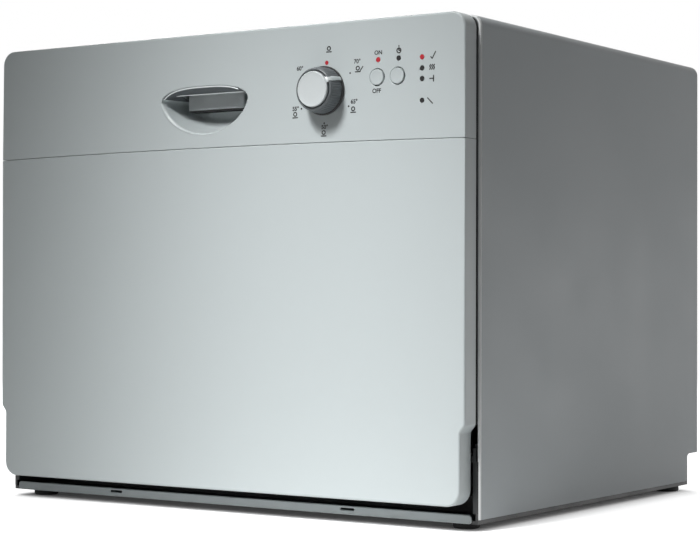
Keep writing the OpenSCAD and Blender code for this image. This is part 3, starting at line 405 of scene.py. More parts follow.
def highlight_strip_section(x, z, inward, height):
    """The cross-section of the painted-highlight strip, the same at every height, round the sheet's rolled edge.
    """
    angles = [math.pi / 16 * i for i in range(-1, 10)]
    outer, inner = [[(edge_r - r * math.cos(a), wrap_low.y + edge_r - r * math.sin(a)) for a in angles]
                    for r in (edge_r + highlight_proud, edge_r + highlight_proud - highlight_wall)]
    return [(x + inward[0] * by, y, z + inward[1] * by) for by, y in outer + inner[::-1]]


def shade_strip_section(x, z, inward, height):
    """The cross-section of the black strip on the front flange, the same at every height; it is painted shade that
    darkens the gap behind the door's edge.
    """
    return [(x + inward[0] * by * MM, wrap_low.y + y * MM, z + inward[1] * by * MM)
            for by, y in shade_strip_profile]


# A pale strip round the rolled edge is a painted highlight: it shows as a bright line beside the black gap behind
# the door.
edge_highlight_paint = add_grain(new_finish("painted_edge_highlight", "#eceeee", 0.35), 1.0, 0.004, uneven=0.03)
mesh_work = bmesh.new()
sweep(mesh_work, bend_path, highlight_strip_section)
make_piece(mesh_work, "front_edge_painted_highlight", "root", edge_highlight_paint, sharp=50)
# A black strip along the front flange is painted shade, for the dark gap between the door's edge and the cabinet.
above_hinge = low_leg.index(front_flange_z)
mesh_work = bmesh.new()
sweep(mesh_work, bend_path[above_hinge:len(bend_path) - above_hinge], shade_strip_section)
make_piece(mesh_work, "flange_shade_strip", "root", seal_rubber)

# Rear panel, strike plate and screws
# Zinc-coated sheet, screwed to the cabinet's flanges from behind.
# The zinc shows a faint spangle and is duller than the plated screws.
zinc_sheet = add_grain(new_finish("zinc_coated_sheet", "#a9afb0", 0.45, 0.9), 6, 0.01, uneven=0.1, patch=18)
dress(zinc_sheet, "galvanised_steel", "rear_panel", "strike_plate", "latch_hook")
screw_steel = add_grain(new_finish("zinc_plated_screws", "#b4b6b4", 0.35, 1.0), 1.0, 0.01)
dress(screw_steel, "screw_steel", "cabinet_screws", "door_screws")

# Hinge brackets and arms
# Pressed steel, the brackets screwed to the tray and the arms to the door. They are coloured nearly black and dull
# as painted shade, so the hinge reads as the dark gap beside the door.
hinge_steel_dark_shade = add_grain(new_finish("dark_hinge_steel_painted_shade", "#2a2c2d", 0.55, 0.3), 2.0, 0.01, patch=15)
dress(hinge_steel_dark_shade, "galvanised_steel", "hinge_bracket_left", "hinge_bracket_right", "hinge_arm_left",
      "hinge_arm_right")

# Dish rack, cup shelf and cutlery basket
# The rack and the folding shelf are welded steel wire, dipped in blue-grey nylon; the basket is moulded.
# The dip flows round the wires before it sets, so it looks soft and slightly glossy.
rack_nylon = add_grain(new_finish("blue_grey_nylon_dip", "#8794a3", 0.38, Coat_Weight=0.2), 1.6, 0.03,
                       patch=12)
dress(rack_nylon, "rack_coating", "rack_floor", "rack_left", "rack_right", "rack_back", "rack_front",
      "plate_tines", "cup_shelf")
basket_plastic = add_grain(new_finish("grey_basket_polypropylene", "#a4adb3", 0.42), 0.9, 0.015)
dress(basket_plastic, "basket_plastic", "cutlery_basket")

# Door liner
# A pressed stainless pan that closes the door's inner side and meets the seal.
# It is brushed across its width, so its highlights run from side to side.
liner_steel = brushed_steel("brushed_stainless_liner", "#bcbfc0", 0.3, (40, 1, 1))
dress(liner_steel, "stainless_steel", "door_liner")

# Door insulation, dispenser, latch and control board
# Bitumen felt fills the door; the moulded dispenser, the latch, the switch and the board are screwed in.
# The felt is rough and black, the mouldings are softly matt, and the board has a green lacquer.
felt = add_grain(new_finish("bitumen_felt", "#333433", 0.9), 1.5, 0.2)
dress(felt, "felt", "door_insulation")
dispenser_plastic = add_grain(new_finish("pale_grey_polypropylene", "#b4bcc0", 0.4), 0.9, 0.015)
dress(dispenser_plastic, "dispenser_plastic", "dispenser_body")
dress(grey_polypropylene, "grey_plastic", "dispenser_lid", "rinse_aid_cap")
dress(black_polypropylene, "base_plastic", "latch_body", "selector_switch")
board_lacquer = add_grain(new_finish("green_board_lacquer", "#2d5a40", 0.4), 2.0, 0.02)
dress(board_lacquer, "board", "control_board")

# Door panel
# A shallow steel pressing with rounded edges; its top edge runs in a slight arch under the fascia.
# The silver-grey lacquer is smooth and semi-matt, and catches a fine bright line on every edge.
silver_coat = coat_grain(new_finish("silver_grey_lacquer", "#c6cecf", 0.36))
panel_low, panel_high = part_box("door_panel")
fascia_low, fascia_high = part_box("fascia")
SKIN = 1.5 * MM
seam_gap = 0.42 * MM
seam_mid = panel_high.z + seam_gap / 2
seam_drop = seam_mid - (fascia_low.z - seam_gap / 2)
door_half = panel_high.x
low_half = kick_high.x
corner_r = 14 * MM
step_from = 84.5 * MM
step_to = 93 * MM
arris = 2.0 * MM
seam_arris = 0.6 * MM
SEAM_STEPS = 24
DRAW_STEPS = 8
EDGE_STEPS = 5
CORNER_STEPS = 10


def seam_height(x):
    """Height of the seam between panel and fascia across the door."""
    return seam_mid - seam_drop * (x / door_half) ** 2


def seam_points(start, end, shift):
    """Points along the seam, moved up by shift."""
    across = [start + (end - start) * i / SEAM_STEPS for i in range(SEAM_STEPS + 1)]
    return [(x, seam_height(x) + shift) for x in across]


def ease(value):
    """A smooth step from 0 to 1."""
    t = min(max(value, 0), 1)
    return t * t * (3 - 2 * t)


def side_step(side):
    """The soft step where the door's lower part draws in, from the bottom up."""
    points = []
    for i in range(DRAW_STEPS + 1):
        t = i / DRAW_STEPS
        x = low_half + (door_half - low_half) * ease(t)
        points.append((side * x, step_from + (step_to - step_from) * t))
    return points


def shell(bm, outline, edges, depth, holes=()):
    """A shell with a rounded front edge and a side return, and with holes of (outline, edge)."""
    rings = []
    for by, depth_by in round_over(1, EDGE_STEPS):
        ring = inset(outline, [e * by for e in edges])
        rings.append(add_ring(bm, [(x, e * depth_by, z) for (x, z), e in zip(ring, edges)]))
    lip = 0.5 * MM
    for by, y in ((0, depth - lip), (lip, depth), (SKIN - lip, depth), (SKIN, depth - lip), (SKIN, SKIN)):
        rings.append(add_ring(bm, upright(inset(outline, by), y)))
    join_rings(bm, *rings)
    rims = []
    for hole, edge in holes:
        front = [(-by, y) for by, y in round_over(edge, RIM_STEPS)] if edge else [(0, 0)]
        rims.append(press(bm, hole, front + [(0, SKIN)]))
    close_face(bm, rings[0], *[rim[0] for rim in rims])
    close_face(bm, rings[-1], *[rim[1] for rim in rims])


panel_shift = Vector((0, panel_low.y, 0))
back_gap = 0.9 * MM
panel_depth = panel_high.y - panel_low.y - back_gap
below = (arc(-low_half + corner_r, panel_low.z + corner_r, corner_r, 180, 270, CORNER_STEPS)
         + arc(low_half - corner_r, panel_low.z + corner_r, corner_r, 270, 360, CORNER_STEPS)
         + side_step(1))
arch = seam_points(door_half, -door_half, -seam_gap / 2)
panel_outline = below + arch + side_step(-1)[::-1]
panel_edges = [arris] * len(below) + [seam_arris] * len(arch) + [arris] * len(side_step(-1))
mesh_work = bmesh.new()
shell(mesh_work, panel_outline, panel_edges, panel_depth)
bmesh.ops.translate(mesh_work, vec=panel_shift, verts=mesh_work.verts)
make_piece(mesh_work, "door_panel_pressing", "door", silver_coat, ["door_panel"])

# Control fascia
# An injection moulded ABS strip over the door's top, with the same silver-grey lacquer as the panel.
# It snaps over the panel's top edge, so a groove under a millimetre wide runs between them.
knob_axis = next(j for j in frame["joints"] if j["name"] == "knob_turn")["pos_m"]


def circle(x, z, radius, count=48):
    """A round outline, anticlockwise."""
    return arc(x, z, radius, 0, 360 - 360 / count, count - 1)


def button_place(node):
    """Middle and radius of a push button in the front view."""
    low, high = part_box(node)
    return (low.x + high.x) / 2, (low.z + high.z) / 2, (high.x - low.x) / 2


start_at = button_place("start_button")
delay_at = button_place("delay_button")
lamps_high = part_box("indicator_lamps")[1]
lamp_r = 2.25 * MM
guide_r = 2.0 * MM
lamp_play = 0.1 * MM
lamp_step = 1.1 * MM
column_x = lamps_high.x - guide_r
column_drops = [drop * MM for drop in (0.5, 10.1, 19.3, 38.1)]
row_z = lamps_high.z - guide_r
row_lamps = [(start_at[0] + lamp_step, row_z), (delay_at[0] + lamp_step, row_z)]
column_lamps = [(column_x, row_z - drop) for drop in column_drops]

recess_low, recess_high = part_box("handle_pocket")
scoop_wall = 1.5 * MM
recess_mid = (recess_low.x + recess_high.x) / 2
recess_half = (recess_high.x - recess_low.x) / 2 - scoop_wall
recess_rise = 14 * MM
recess_side_z = recess_high.z - scoop_wall - recess_rise
recess_fall = recess_side_z - recess_low.z - scoop_wall
RECESS_STEPS = 24
ARCH_POWER = 3
BOWL_POWER = 0.6


def recess_line(half, rise, fall):
    """The handle recess in the front view, anticlockwise from its right tip: an arch over a bowl."""
    points = []
    for i in range(2 * RECESS_STEPS):
        across = math.cos(math.pi * i / RECESS_STEPS)
        if i <= RECESS_STEPS:
            height = rise * math.sqrt(1 - abs(across) ** ARCH_POWER)
        else:
            height = -fall * (1 - across * across) ** BOWL_POWER
        points.append((recess_mid + half * across, recess_side_z + height))
    return points


recess = recess_line(recess_half, recess_rise, recess_fall)
fascia_depth = fascia_high.y - fascia_low.y - back_gap
top_z = fascia_high.z
seam_line = seam_points(-door_half, door_half, seam_gap / 2)
top_line = (arc(door_half - corner_r, top_z - corner_r, corner_r, 0, 90, CORNER_STEPS)
            + arc(-door_half + corner_r, top_z - corner_r, corner_r, 90, 180, CORNER_STEPS))

# Each hole is an outline and the radius of its rounded edge; the recess has its own lip.
spindle_hole_r = 4 * MM
button_gap = 0.85 * MM
fascia_holes = [(recess, 0), (circle(knob_axis[0], knob_axis[2], spindle_hole_r), 0.3 * MM)]
fascia_holes += [(circle(x, z, r + button_gap), 0.4 * MM) for x, z, r in (start_at, delay_at)]
fascia_holes += [(circle(x, z, lamp_r + lamp_play, 24), 0.2 * MM) for x, z in row_lamps + column_lamps]
mesh_work = bmesh.new()
shell(mesh_work, seam_line + top_line, [seam_arris] * len(seam_line) + [arris] * len(top_line),
      fascia_depth, fascia_holes)
bmesh.ops.translate(mesh_work, vec=panel_shift, verts=mesh_work.verts)
make_piece(mesh_work, "control_fascia", "door", silver_coat, ["fascia"])

# Handle scoop
# A moulded ABS finger recess welded behind the fascia: a visor above and a bowl that runs in below.
# It has the fascia's lacquer. Two pale beads along the visor are painted highlights, and the dark lining between
# them is painted shade.
face_y = fascia_low.y
bowl_depth = recess_high.y - scoop_wall - face_y - 1 * MM
bowl_back = recess_line(36 * MM, 3 * MM, 12 * MM)
bowl_end = face_y + bowl_depth
visor_depth = 11 * MM
visor_drop = 6.6 * MM
visor_z = recess_high.z - scoop_wall - visor_drop
roof_back = face_y + 25 * MM
lip_top = 0.9 * MM
lip_foot = 0.5 * MM
lip_left = 3.2 * MM
lip_rise = 3 * MM
lip_blend = 14 * MM
lip_turn = 85
lip_turn_less = 30
roof_rise = 1 * MM
roof_blend = 8 * MM
BOWL_DEPTH_POWER = 2.3
BOWL_HEIGHT_POWER = 1.2
VISOR_HEIGHT_POWER = 1.7
VISOR_NARROWING = 0.6
LIP_STEPS = 5
RAMP_STEPS = (0.07, 0.15, 0.25, 0.37, 0.5, 0.65, 0.8, 0.92, 1.0)
VISOR_TURN_UP = ((0.9, 0.4), (1.5, 1.5), (1.8, 6))


def scoop_rings():
    """Rings of points from the fascia's face, over the lip and along the recess to its back.

    The lip is sharp at the top and widest at the lower left. Behind it every point runs to the bowl's
    back or, in the roof, to the visor's straight rear edge and up behind it.
    """
    lip = []
    turned = []
    for x, z in recess:
        low = ease((recess_side_z + lip_rise - z) / lip_blend)
        left = (recess_mid + recess_half - x) / (2 * recess_half)
        lip.append(lip_top + low * (lip_foot + lip_left * left * left))
        turned.append(math.radians(lip_turn - lip_turn_less * low * left))
    rings = []
    for i in range(LIP_STEPS + 1):
        angles = [a * i / LIP_STEPS for a in turned]
        outline = inset(recess, [r * math.sin(a) for r, a in zip(lip, angles)])
        rings.append([Vector((x, face_y + r * (1 - math.cos(a)), z))
                      for (x, z), r, a in zip(outline, lip, angles)])
    start = rings[-1]
    roofs = [ease((p.z - recess_side_z - roof_rise) / roof_blend) for p in start]
    for t in RAMP_STEPS:
        ring = []
        for p, (back_x, back_z), roof in zip(start, bowl_back, roofs):
            depth = 1 - (1 - t) ** BOWL_DEPTH_POWER
            low = Vector((p.x + (back_x - p.x) * t, p.y + (bowl_end - p.y) * depth,
                          p.z + (back_z - p.z) * t ** BOWL_HEIGHT_POWER))
            high = Vector((p.x + (back_x - p.x) * t * VISOR_NARROWING,
                           p.y + (face_y + visor_depth - p.y) * t,
                           p.z + (visor_z - p.z) * t ** VISOR_HEIGHT_POWER))
            ring.append(low.lerp(high, roof))
        rings.append(ring)
    edge = rings[-1]
    for back, up in VISOR_TURN_UP:
        rings.append([p + Vector((0, 0.2 + back * roof, up * roof)) * MM for p, roof in zip(edge, roofs)])
    rings.append([Vector((p.x, max(p.y, roof_back), p.z)) for p in rings[-1]])
    rings.append(upright(bowl_back, bowl_end + 0.5 * MM))
    return rings


mesh_work = bmesh.new()
scoop_loops = [add_ring(mesh_work, ring) for ring in scoop_rings()]
join_rings(mesh_work, *scoop_loops)
close_face(mesh_work, scoop_loops[-1])

# A slot behind the visor lets the lever hang through.
slot_half = 37 * MM
slot_front = face_y + 13 * MM
slot_back = face_y + 23 * MM
slot_low = recess_high.z - 8 * MM
slot_faces = []
for face in mesh_work.faces:
    middle = face.calc_center_median()
    if abs(middle.x - recess_mid) < slot_half and slot_front < middle.y < slot_back and middle.z > slot_low:
        slot_faces.append(face)
bmesh.ops.delete(mesh_work, geom=slot_faces, context="FACES")
scoop = make_piece(mesh_work, "handle_scoop", "door", silver_coat, ["handle_pocket"])
wall = scoop.modifiers.new("wall_thickness", "SOLIDIFY")
wall.thickness = 1.2 * MM
wall.offset = -1.0


def bead(bm, points, radius):
    """A thin round bead along points that run from left to right."""
    sides = [math.pi / 4 * i for i in range(8)]
    rings = [add_ring(bm, [(p[0], p[1] + radius * math.cos(a), p[2] + radius * math.sin(a)) for a in sides])
             for p in points]
    join_rings(bm, *rings)
    close_face(bm, rings[0])
    close_face(bm, rings[-1])


# Two pale, nearly metallic beads line the visor as painted highlights, one inside its front lip and one along its
# straight rear edge.
bead_highlight_paint = add_grain(new_finish("painted_highlight_bead", "#d5dadb", 0.3, 0.85), 1.0, 0.003, uneven=0.03)
bead_r = 0.7 * MM
roof_z = recess_side_z + 4 * MM
lip_end = recess_mid + 0.84 * recess_half
LIP_SHARE = 0.96
lip_back = 1.1 * MM
lip_drop = 1.6 * MM
lip_line = [(recess_mid + (x - recess_mid) * LIP_SHARE, face_y + lip_back, z - lip_drop)
            for x, z in recess[::-1] if z > roof_z and x < lip_end]
rear_half = recess_half - 2.5 * MM
rear_z = visor_z - 0.4 * MM
tip_forward = 7.5 * MM
tip_drop = 2.6 * MM
BEAD_STEPS = 24
BEND_FROM = 0.75
rear_line = []
for i in range(BEAD_STEPS + 1):
    across = 2 * i / BEAD_STEPS - 1
    bend = (max(abs(across) - BEND_FROM, 0) / (1 - BEND_FROM)) ** 2
    rear_line.append((recess_mid + rear_half * across, face_y + visor_depth - tip_forward * bend,
                      rear_z - tip_drop * bend))
mesh_work = bmesh.new()
for line in (lip_line, rear_line):
    bead(mesh_work, line, bead_r)
make_piece(mesh_work, "visor_highlight_beads", "door", bead_highlight_paint)

# A thin dark sheet covers the visor's underside between the beads; its colour is painted shade for the dark band
# under the visor.
visor_shade_paint = add_grain(new_finish("visor_painted_shade", "#62676a", 0.7), 0.9, 0.02)
shade_layer_gap = Vector((0, 0, 0.3 * MM))
roof_at = [i for i, (x, z) in enumerate(recess) if z > roof_z]
roof_rings = scoop_rings()[LIP_STEPS:LIP_STEPS + len(RAMP_STEPS) + 1]
mesh_work = bmesh.new()
shade_layer_rows = [add_ring(mesh_work, [ring[i] - shade_layer_gap for i in roof_at]) for ring in roof_rings]
join_rings(mesh_work, *shade_layer_rows, closed=False)
shade_layer_piece = make_piece(mesh_work, "visor_shade_layer", "door", visor_shade_paint)
layer = shade_layer_piece.modifiers.new("wall_thickness", "SOLIDIFY")
layer.thickness = 0.2 * MM
layer.offset = 0

# Latch lever
# A grey moulded flap across the back of the recess; it hangs from its own rod behind the visor.
# It is unlacquered grained ABS, duller than the fascia round it; its grey is painted lighter than the fascia's as
# painted light for the light bounced into the recess.
grained_abs_and_bounce_light = add_grain(new_finish("grained_grey_abs_and_painted_bounce_light", "#d2d7d8", 0.5), 0.8, 0.02)
lever_low, lever_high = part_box("latch_handle")
rod_r = 2 * MM
rod_z = lever_high.z - rod_r
rod_y = lever_high.y - rod_r
flap_half = 33 * MM
flap_wall = 3 * MM
flap_front = lever_low.y
flap_mid = (lever_low.x + lever_high.x) / 2
mesh_work = bmesh.new()
plate(mesh_work, rounded(flap_mid - flap_half, flap_mid + flap_half, lever_low.z, rod_z, 1.2 * MM, 4), [],
      flap_front, flap_front + flap_wall, 1.0 * MM)
rod_l = lever_high.x - lever_low.x
rod_profile = [(0, 0), (rod_r, 0), (rod_r, rod_l), (0, rod_l)]
turn(mesh_work, (lever_low.x, rod_y, rod_z), (1, 0, 0), rod_profile, 24)
make_piece(mesh_work, "latch_flap", "handle", grained_abs_and_bounce_light, ["latch_handle"])

# A black strip under the flap is painted shade: it gives the dark line of shadow below the flap's edge.
shade_line_low = lever_low.z - 1.5 * MM
shade_line_high = lever_low.z - 0.3 * MM
shade_line_front = flap_front + 0.6 * MM
shade_line_outline = rounded(flap_mid - flap_half, flap_mid + flap_half, shade_line_low, shade_line_high, 0.4 * MM, 3)
mesh_work = bmesh.new()
plate(mesh_work, shade_line_outline, [], shade_line_front, bowl_end, 0.3 * MM)
make_piece(mesh_work, "flap_shade_line", "door", seal_rubber)

# Programme knob
# A dark grey moulded skirt with fine finger ribs, pressed onto the switch's spindle.
# A silver lacquered cap sits in its face, with a pointer that runs down over the ribs.
knob_abs = add_grain(new_finish("dark_moulded_abs", "#666b6e", 0.42), 0.7, 0.012)
cap_lacquer = add_grain(new_finish("silver_cap_lacquer", "#cdd3d4", 0.3, 0.3), 1.5, 0.003, uneven=0.03)
skirt_low, skirt_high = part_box("program_knob")
skirt_gap = 0.8 * MM
RIBS = 54
POINTS_PER_RIB = 6
rib_depth = 0.55 * MM

# Radius, height over the fascia and share of the ribs' depth, from the skirt's foot to its face.
skirt_steps = [(20.6, 0, 0), (20.8, 0.4, 0), (20.8, 1.2, 0), (20.75, 2.0, 0.6), (20.7, 3.0, 1),
               (20.5, 7.0, 1), (20.2, 10.5, 1), (19.7, 13.4, 1), (19.3, 14.6, 0.6), (18.9, 15.6, 0),
               (18.3, 16.3, 0), (17.7, 16.5, 0), (17.3, 16.2, 0), (17.2, 15.0, 0), (15.4, 15.0, 0)]


def knob_point(radius, out, angle):
    """A point of the knob, from its distance to the axis, its height over the fascia and its angle."""
    return (knob_axis[0] + radius * math.cos(angle), face_y - skirt_gap - out,
            knob_axis[2] + radius * math.sin(angle))


mesh_work = bmesh.new()
rings = []
points_round = RIBS * POINTS_PER_RIB
for radius, out, ribbed in skirt_steps:
    ring = []
    for i in range(points_round):
        angle = 2 * math.pi * i / points_round
        cut = rib_depth * ribbed * (0.5 - 0.5 * math.cos(angle * RIBS)) ** 1.5
        ring.append(knob_point(radius * MM - cut, out * MM, angle))
    rings.append(add_ring(mesh_work, ring))
join_rings(mesh_work, *rings)
close_face(mesh_work, rings[0])
close_face(mesh_work, rings[-1])
spindle_r = 3 * MM
spindle_l = skirt_high.y - face_y + skirt_gap
spindle = [(0, 0), (spindle_r, 0), (spindle_r, spindle_l), (0, spindle_l)]
turn(mesh_work, (knob_axis[0], face_y - skirt_gap, knob_axis[2]), (0, 1, 0), spindle, 24)
make_piece(mesh_work, "knob_skirt", "knob", knob_abs, ["program_knob"], sharp=50)

mesh_work = bmesh.new()
cap_back = skirt_low.y
cap_profile = [(0, -1.0), (15.4, -1.0), (16, -0.6), (16, 0.9), (15.75, 1.55), (15.2, 1.95), (14.6, 1.9),
               (13.8, 1.55), (9, 1.35), (0, 1.25)]
turn(mesh_work, (knob_axis[0], cap_back, knob_axis[2]), (0, -1, 0),
     [(r * MM, h * MM) for r, h in cap_profile], 96)
pointer_angle = math.radians(27)
ridge = [(12, 18.3), (16.4, 18.3), (18.8, 16.8), (20.3, 13.2), (21.2, 8.0), (21.9, 3.5), (21.9, 0.6)]
ridge_section = ((-1.0, 3.0), (-1.0, 0.5), (-0.6, 0.0), (0.6, 0.0), (1.0, 0.5), (1.0, 3.0))
INWARD = 0.8
BACKWARD = 0.5


def pointer(bm, start_half, end_half, sink):
    """The ridge from the cap down over the ribs, tapering from one half width to the other.

    Its section has (side, down) points; down leads towards the axis and back at a slant.
    """
    along = Vector((math.cos(pointer_angle), math.sin(pointer_angle)))
    rings = []
    for k, (radius, out) in enumerate(ridge):
        half = start_half + (end_half - start_half) * k / (len(ridge) - 1)
        section = []
        for side, down in ridge_section:
            reach = radius - (down + sink) * INWARD
            x = reach * along.x - side * half * along.y
            z = reach * along.y + side * half * along.x
            section.append((knob_axis[0] + x * MM, face_y - (out - (down + sink) * BACKWARD) * MM,
                            knob_axis[2] + z * MM))
        rings.append(add_ring(bm, section))
    join_rings(bm, *rings)
    close_face(bm, rings[0])
    close_face(bm, rings[-1])


pointer(mesh_work, 2.6, 1.7, 0)
make_piece(mesh_work, "knob_cap_and_pointer", "knob", cap_lacquer, ["knob_cap"])

# A black ring at the skirt's foot is painted shade for the dark gap under the knob, and a black underlay beneath
# the pointer paints the shadow lines along its sides.
shade_ring_profile = [(0, 0.15), (21.6, 0.15), (22.1, 0.5), (22.1, 1.9), (21.7, 2.3), (0, 2.3)]
mesh_work = bmesh.new()
turn(mesh_work, (knob_axis[0], face_y, knob_axis[2]), (0, -1, 0), [(r * MM, h * MM) for r, h in shade_ring_profile], 72)
pointer(mesh_work, 3.3, 2.4, 0.5)
make_piece(mesh_work, "knob_shade_ring", "knob", black_polypropylene)

# Push buttons
# Two lacquered ABS buttons in round holes, each with a shallow dish for the fingertip.
# The dark ring round each is the gap to the fascia.
button_profile = [(0, 7.0), (3, 7.0), (3, 1.8), (6.4, 1.8), (7, 1.4), (7, -0.7), (6.8, -1.05), (6.4, -1.2),
                  (5.6, -1.12), (3, -0.9), (0, -0.85)]
for name, body, (x, z, _) in (("start_button", "start", start_at), ("delay_button", "delay", delay_at)):
    mesh_work = bmesh.new()
    turn(mesh_work, (x, face_y, z), (0, 1, 0), [(r * MM, h * MM) for r, h in button_profile])
    make_piece(mesh_work, name + "_cap", body, silver_coat, [name])

# Indicator lamps
# Six short light guides of clear acrylic that stand just proud of the fascia.
# Two show red from the diodes behind them, and the others look black because nothing is lit.
lit_acrylic = new_finish("red_lit_acrylic", "#ab0c20", 0.2, Emission_Color=tone("#c80c28"),
                         Emission_Strength=0.12)
dark_acrylic = new_finish("unlit_smoked_acrylic", "#0b0b0c", 0.15)
add_grain(lit_acrylic, 1.2, 0.004, uneven=0.02, patch=5)
add_grain(dark_acrylic, 1.2, 0.004, uneven=0.02, patch=5)
guide_l = lamps_high.y - face_y
guide_profile = [(0, -0.3 * MM), (1.0 * MM, -0.27 * MM), (1.6 * MM, -0.16 * MM), (lamp_r, 0)]
guide_profile += [(lamp_r, guide_l), (0, guide_l)]
for name, material, places in (("lit_lamps", lit_acrylic, [row_lamps[0], column_lamps[0]]),
                               ("unlit_lamps", dark_acrylic, [row_lamps[1]] + column_lamps[1:])):
    mesh_work = bmesh.new()
    for x, z in places:
        turn(mesh_work, (x, face_y, z), (0, 1, 0), guide_profile, 32)
    make_piece(mesh_work, name, "door", material, ["indicator_lamps"])

# Printed marks
# Plain programme numbers, dots and small signs, screen printed on the fascia in black and red ink.
# The ink lies on the lacquer as a thin even film and is a little duller than it.
INK = 0.06 * MM
dark_ink = add_grain(new_finish("black_screen_ink", "#0f1011", 0.5), 0.6, 0.003, patch=6)
red_ink = add_grain(new_finish("red_screen_ink", "#b01226", 0.45), 0.6, 0.003, patch=6)
STROKE = 1.05
LETTER = 5.2
LETTER_WEIGHT = 0.16


def ink(bm, outline, *holes):
    """A patch of ink with this outline, in millimetres from the knob's axis."""
    loops = [press(bm, [(knob_axis[0] + x * MM, knob_axis[2] + z * MM) for x, z in line],
                   [(0, face_y - INK), (0, face_y)]) for line in (outline, *holes)]
    for end in (0, 1):
        close_face(bm, *[loop[end] for loop in loops])


def dot(bm, x, z, radius):
    """A printed dot."""
    ink(bm, circle(x, z, radius, 20))


def ring_sign(bm, x, z, radius):
    """A printed ring."""
    ink(bm, circle(x, z, radius, 28), circle(x, z, radius - STROKE, 28))


def stroke(bm, *points):
    """Printed strokes with round ends from point to point."""
    for (x1, z1), (x2, z2) in zip(points, points[1:]):
        lean = math.degrees(math.atan2(z2 - z1, x2 - x1))
        ink(bm, arc(x2, z2, STROKE / 2, lean - 90, lean + 90, 4)
            + arc(x1, z1, STROKE / 2, lean + 90, lean + 270, 4))


def lettering(bm, words, x, z):
    """Printed figures or words, centred on a place; a weight of 0.15 or 0.2 would break the 6."""
    curve = bpy.data.curves.new("letters", "FONT")
    curve.body = words
    curve.size = LETTER * MM
    curve.offset = LETTER_WEIGHT * MM
    curve.extrude = INK / 2
    curve.align_x = "CENTER"
    curve.align_y = "CENTER"
    letters = bpy.data.objects.new("letters", curve)
    mesh = bpy.data.meshes.new_from_object(letters)
    mesh.transform(Matrix.Translation((knob_axis[0] + x * MM, face_y - INK / 2, knob_axis[2] + z * MM))
                   @ Matrix.Rotation(math.pi / 2, 4, "X"))
    bm.from_mesh(mesh)
    bpy.data.objects.remove(letters)
    bpy.data.curves.remove(curve)
    bpy.data.meshes.remove(mesh)


def dish_sign(bm, x, z):
    """A generic sign of a plate that stands on a bar."""
    ring_sign(bm, x, z + 0.9, 2.2)
    stroke(bm, (x - 2.6, z - 2.2), (x + 2.6, z - 2.2))


# Round the knob stand a dot, a figure and a dish sign for each programme.
mesh_work = bmesh.new()
for x, z in ((28, 14.2), (26.5, -15.2), (0.2, -29), (-24.8, -14.8), (-23.2, 15.9)):
    dot(mesh_work, x, z, 0.85)
for words, x, z in (("70\u00b0", 35.6, 24), ("65\u00b0", 32.4, -11.4), ("50\u00b0", 0.7, -32.6),
                    ("55\u00b0", -31.2, -14.7), ("60\u00b0", -26.5, 21.5)):
    lettering(mesh_work, words, x, z)
for x, z in ((5.1, 36.7), (36.1, 17.1), (31.3, -18.6), (-0.4, -38.2), (-31.7, -20.4)):
    dish_sign(mesh_work, x, z)
stroke(mesh_work, (38.6, 15.6), (41.5, 19.2))

# The words and the clock belong to the two buttons.
lettering(mesh_work, "ON", 57.8, 30.2)
lettering(mesh_work, "OFF", 56.1, -3.3)
ring_sign(mesh_work, 79.2, 30.8, 2.6)
stroke(mesh_work, (79.2, 32.4), (79.2, 30.8), (80.4, 30.8))
stroke(mesh_work, (79.2, 34.2), (79.2, 35.0))

# A tick, steam, a tap and a slanted line stand beside the column of lamps.
stroke(mesh_work, (111.8, 23.2), (113.2, 21.6), (116.6, 27.4))
for row in range(3):
    stroke(mesh_work, (110.8 + row * 1.9, 12.2), (111.6 + row * 1.9, 13.7), (110.8 + row * 1.9, 15.2),
           (111.6 + row * 1.9, 16.4))
stroke(mesh_work, (110.8, 4.4), (114.6, 4.4))
stroke(mesh_work, (114.6, 1.9), (114.6, 6.9))
stroke(mesh_work, (108.6, -12.2), (113.6, -17.2))
make_piece(mesh_work, "printed_marks", "door", dark_ink)

# A red dot marks the knob's rest position.
mesh_work = bmesh.new()
dot(mesh_work, 2.8, 24.9, 1.9)
make_piece(mesh_work, "red_mark", "door", red_ink)

# Floor, light and camera
# A white paper floor in a white room, with a soft lamp high in front, a weak one low at the side and a
# large one behind. The paper shows white to the camera, and keeps the shade close to the feet.


def shown_white(owner, unseen, seen):
    """A strength that is higher where the eye, a gloss or a glass looks straight at a surface."""
    path = add_node(owner, "ShaderNodeLightPath")
    gloss = add_node(owner, "ShaderNodeMath", None, {0: (path, "Is Camera Ray"), 1: (path, "Is Glossy Ray")},
                     operation="MAXIMUM")
    glass = add_node(owner, "ShaderNodeMath", None, {0: (gloss, "Value"), 1: (path, "Is Transmission Ray")},
                     operation="MAXIMUM")
    return add_node(owner, "ShaderNodeMapRange", {"To Min": unseen, "To Max": seen},
                    {"Value": (glass, "Value")})


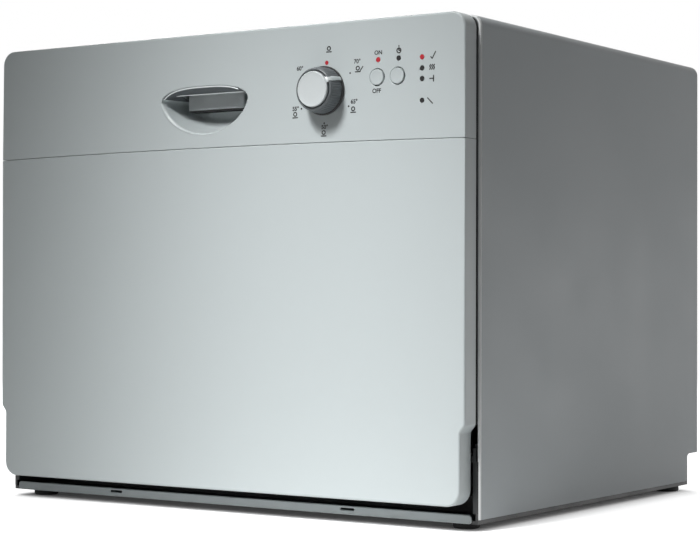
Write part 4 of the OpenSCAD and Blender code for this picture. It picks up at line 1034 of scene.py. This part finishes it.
ROOM_LIGHT = 0.03
studio_paper = new_finish("white_studio_paper", "#f2f2f2", 0.9, Emission_Color=(1, 1, 1, 1))
paper_shade = add_node(studio_paper, "ShaderNodeAmbientOcclusion", {"Distance": 30 * MM}, samples=8)
paper_white = shown_white(studio_paper, 0.0, 0.9)
paper_glow = add_node(studio_paper, "ShaderNodeMath", None,
                      {0: (paper_shade, "AO"), 1: (paper_white, "Result")}, operation="MULTIPLY")
paper_shader = studio_paper.node_tree.nodes["Principled BSDF"]
studio_paper.node_tree.links.new(paper_glow.outputs["Value"], paper_shader.inputs["Emission Strength"])
far = 6
floor_mesh = bpy.data.meshes.new("studio_floor")
floor_mesh.from_pydata([(-far, -far, 0), (far, -far, 0), (far, far, 0), (-far, far, 0)], [], [(0, 1, 2, 3)])
floor = bpy.data.objects.new("studio_floor", floor_mesh)
floor_mesh.materials.append(studio_paper)
bpy.context.scene.collection.objects.link(floor)

# The camera's lens and place were fitted to the corners of the door and cabinet; angles are in degrees.
camera_data = bpy.data.cameras.new("camera")
camera_data.lens = 99.05
camera_data.sensor_width = 36
camera_data.clip_end = 50
camera = bpy.data.objects.new("camera", camera_data)
camera_place = (1.103, -1.64625, 0.203)
camera_yaw = 33.88
camera_pitch = 0.62
camera_roll = 0.15
camera.matrix_world = (Matrix.Translation(camera_place)
                       @ Matrix.Rotation(math.radians(camera_yaw), 4, "Z")
                       @ Matrix.Rotation(math.radians(90 + camera_pitch), 4, "X")
                       @ Matrix.Rotation(math.radians(camera_roll), 4, "Z"))
bpy.context.scene.collection.objects.link(camera)
bpy.context.scene.camera = camera


def add_lamp(name, place, target, size, power, spread):
    """A soft lamp that faces a point, with its sides in metres, power in watts and spread in degrees."""
    data = bpy.data.lights.new(name, "AREA")
    data.shape = "RECTANGLE"
    data.size, data.size_y = size
    data.energy = power
    data.spread = math.radians(spread)
    lamp = bpy.data.objects.new(name, data)
    direction = Vector(target) - Vector(place)
    lamp.matrix_world = (Matrix.Translation(place)
                         @ direction.to_track_quat("-Z", "Y").to_matrix().to_4x4())
    bpy.context.scene.collection.objects.link(lamp)


add_lamp("key_lamp", (-0.035, -1.16, 1.4), (0.182, -0.23, -0.01), (0.36, 0.36), 1.65, 37)
add_lamp("side_lamp", (1.1, 1.1, 0.15), (0.27, 0.3, 0.05), (0.8, 0.4), 0.9, 140)
add_lamp("back_lamp", (-1.3, 1.5, 1.3), (0, 0, 0.2), (1.2, 1.2), 22, 180)

room = bpy.data.worlds.new("white_room")
room.use_nodes = True
bpy.context.scene.world = room
sky = room.node_tree.nodes["Background"]
sky.inputs["Color"].default_value = (1, 1, 1, 1)
room_white = shown_white(room, ROOM_LIGHT, 1.0)
room.node_tree.links.new(room_white.outputs["Result"], sky.inputs["Strength"])

bpy.context.scene.view_settings.view_transform = "Standard"
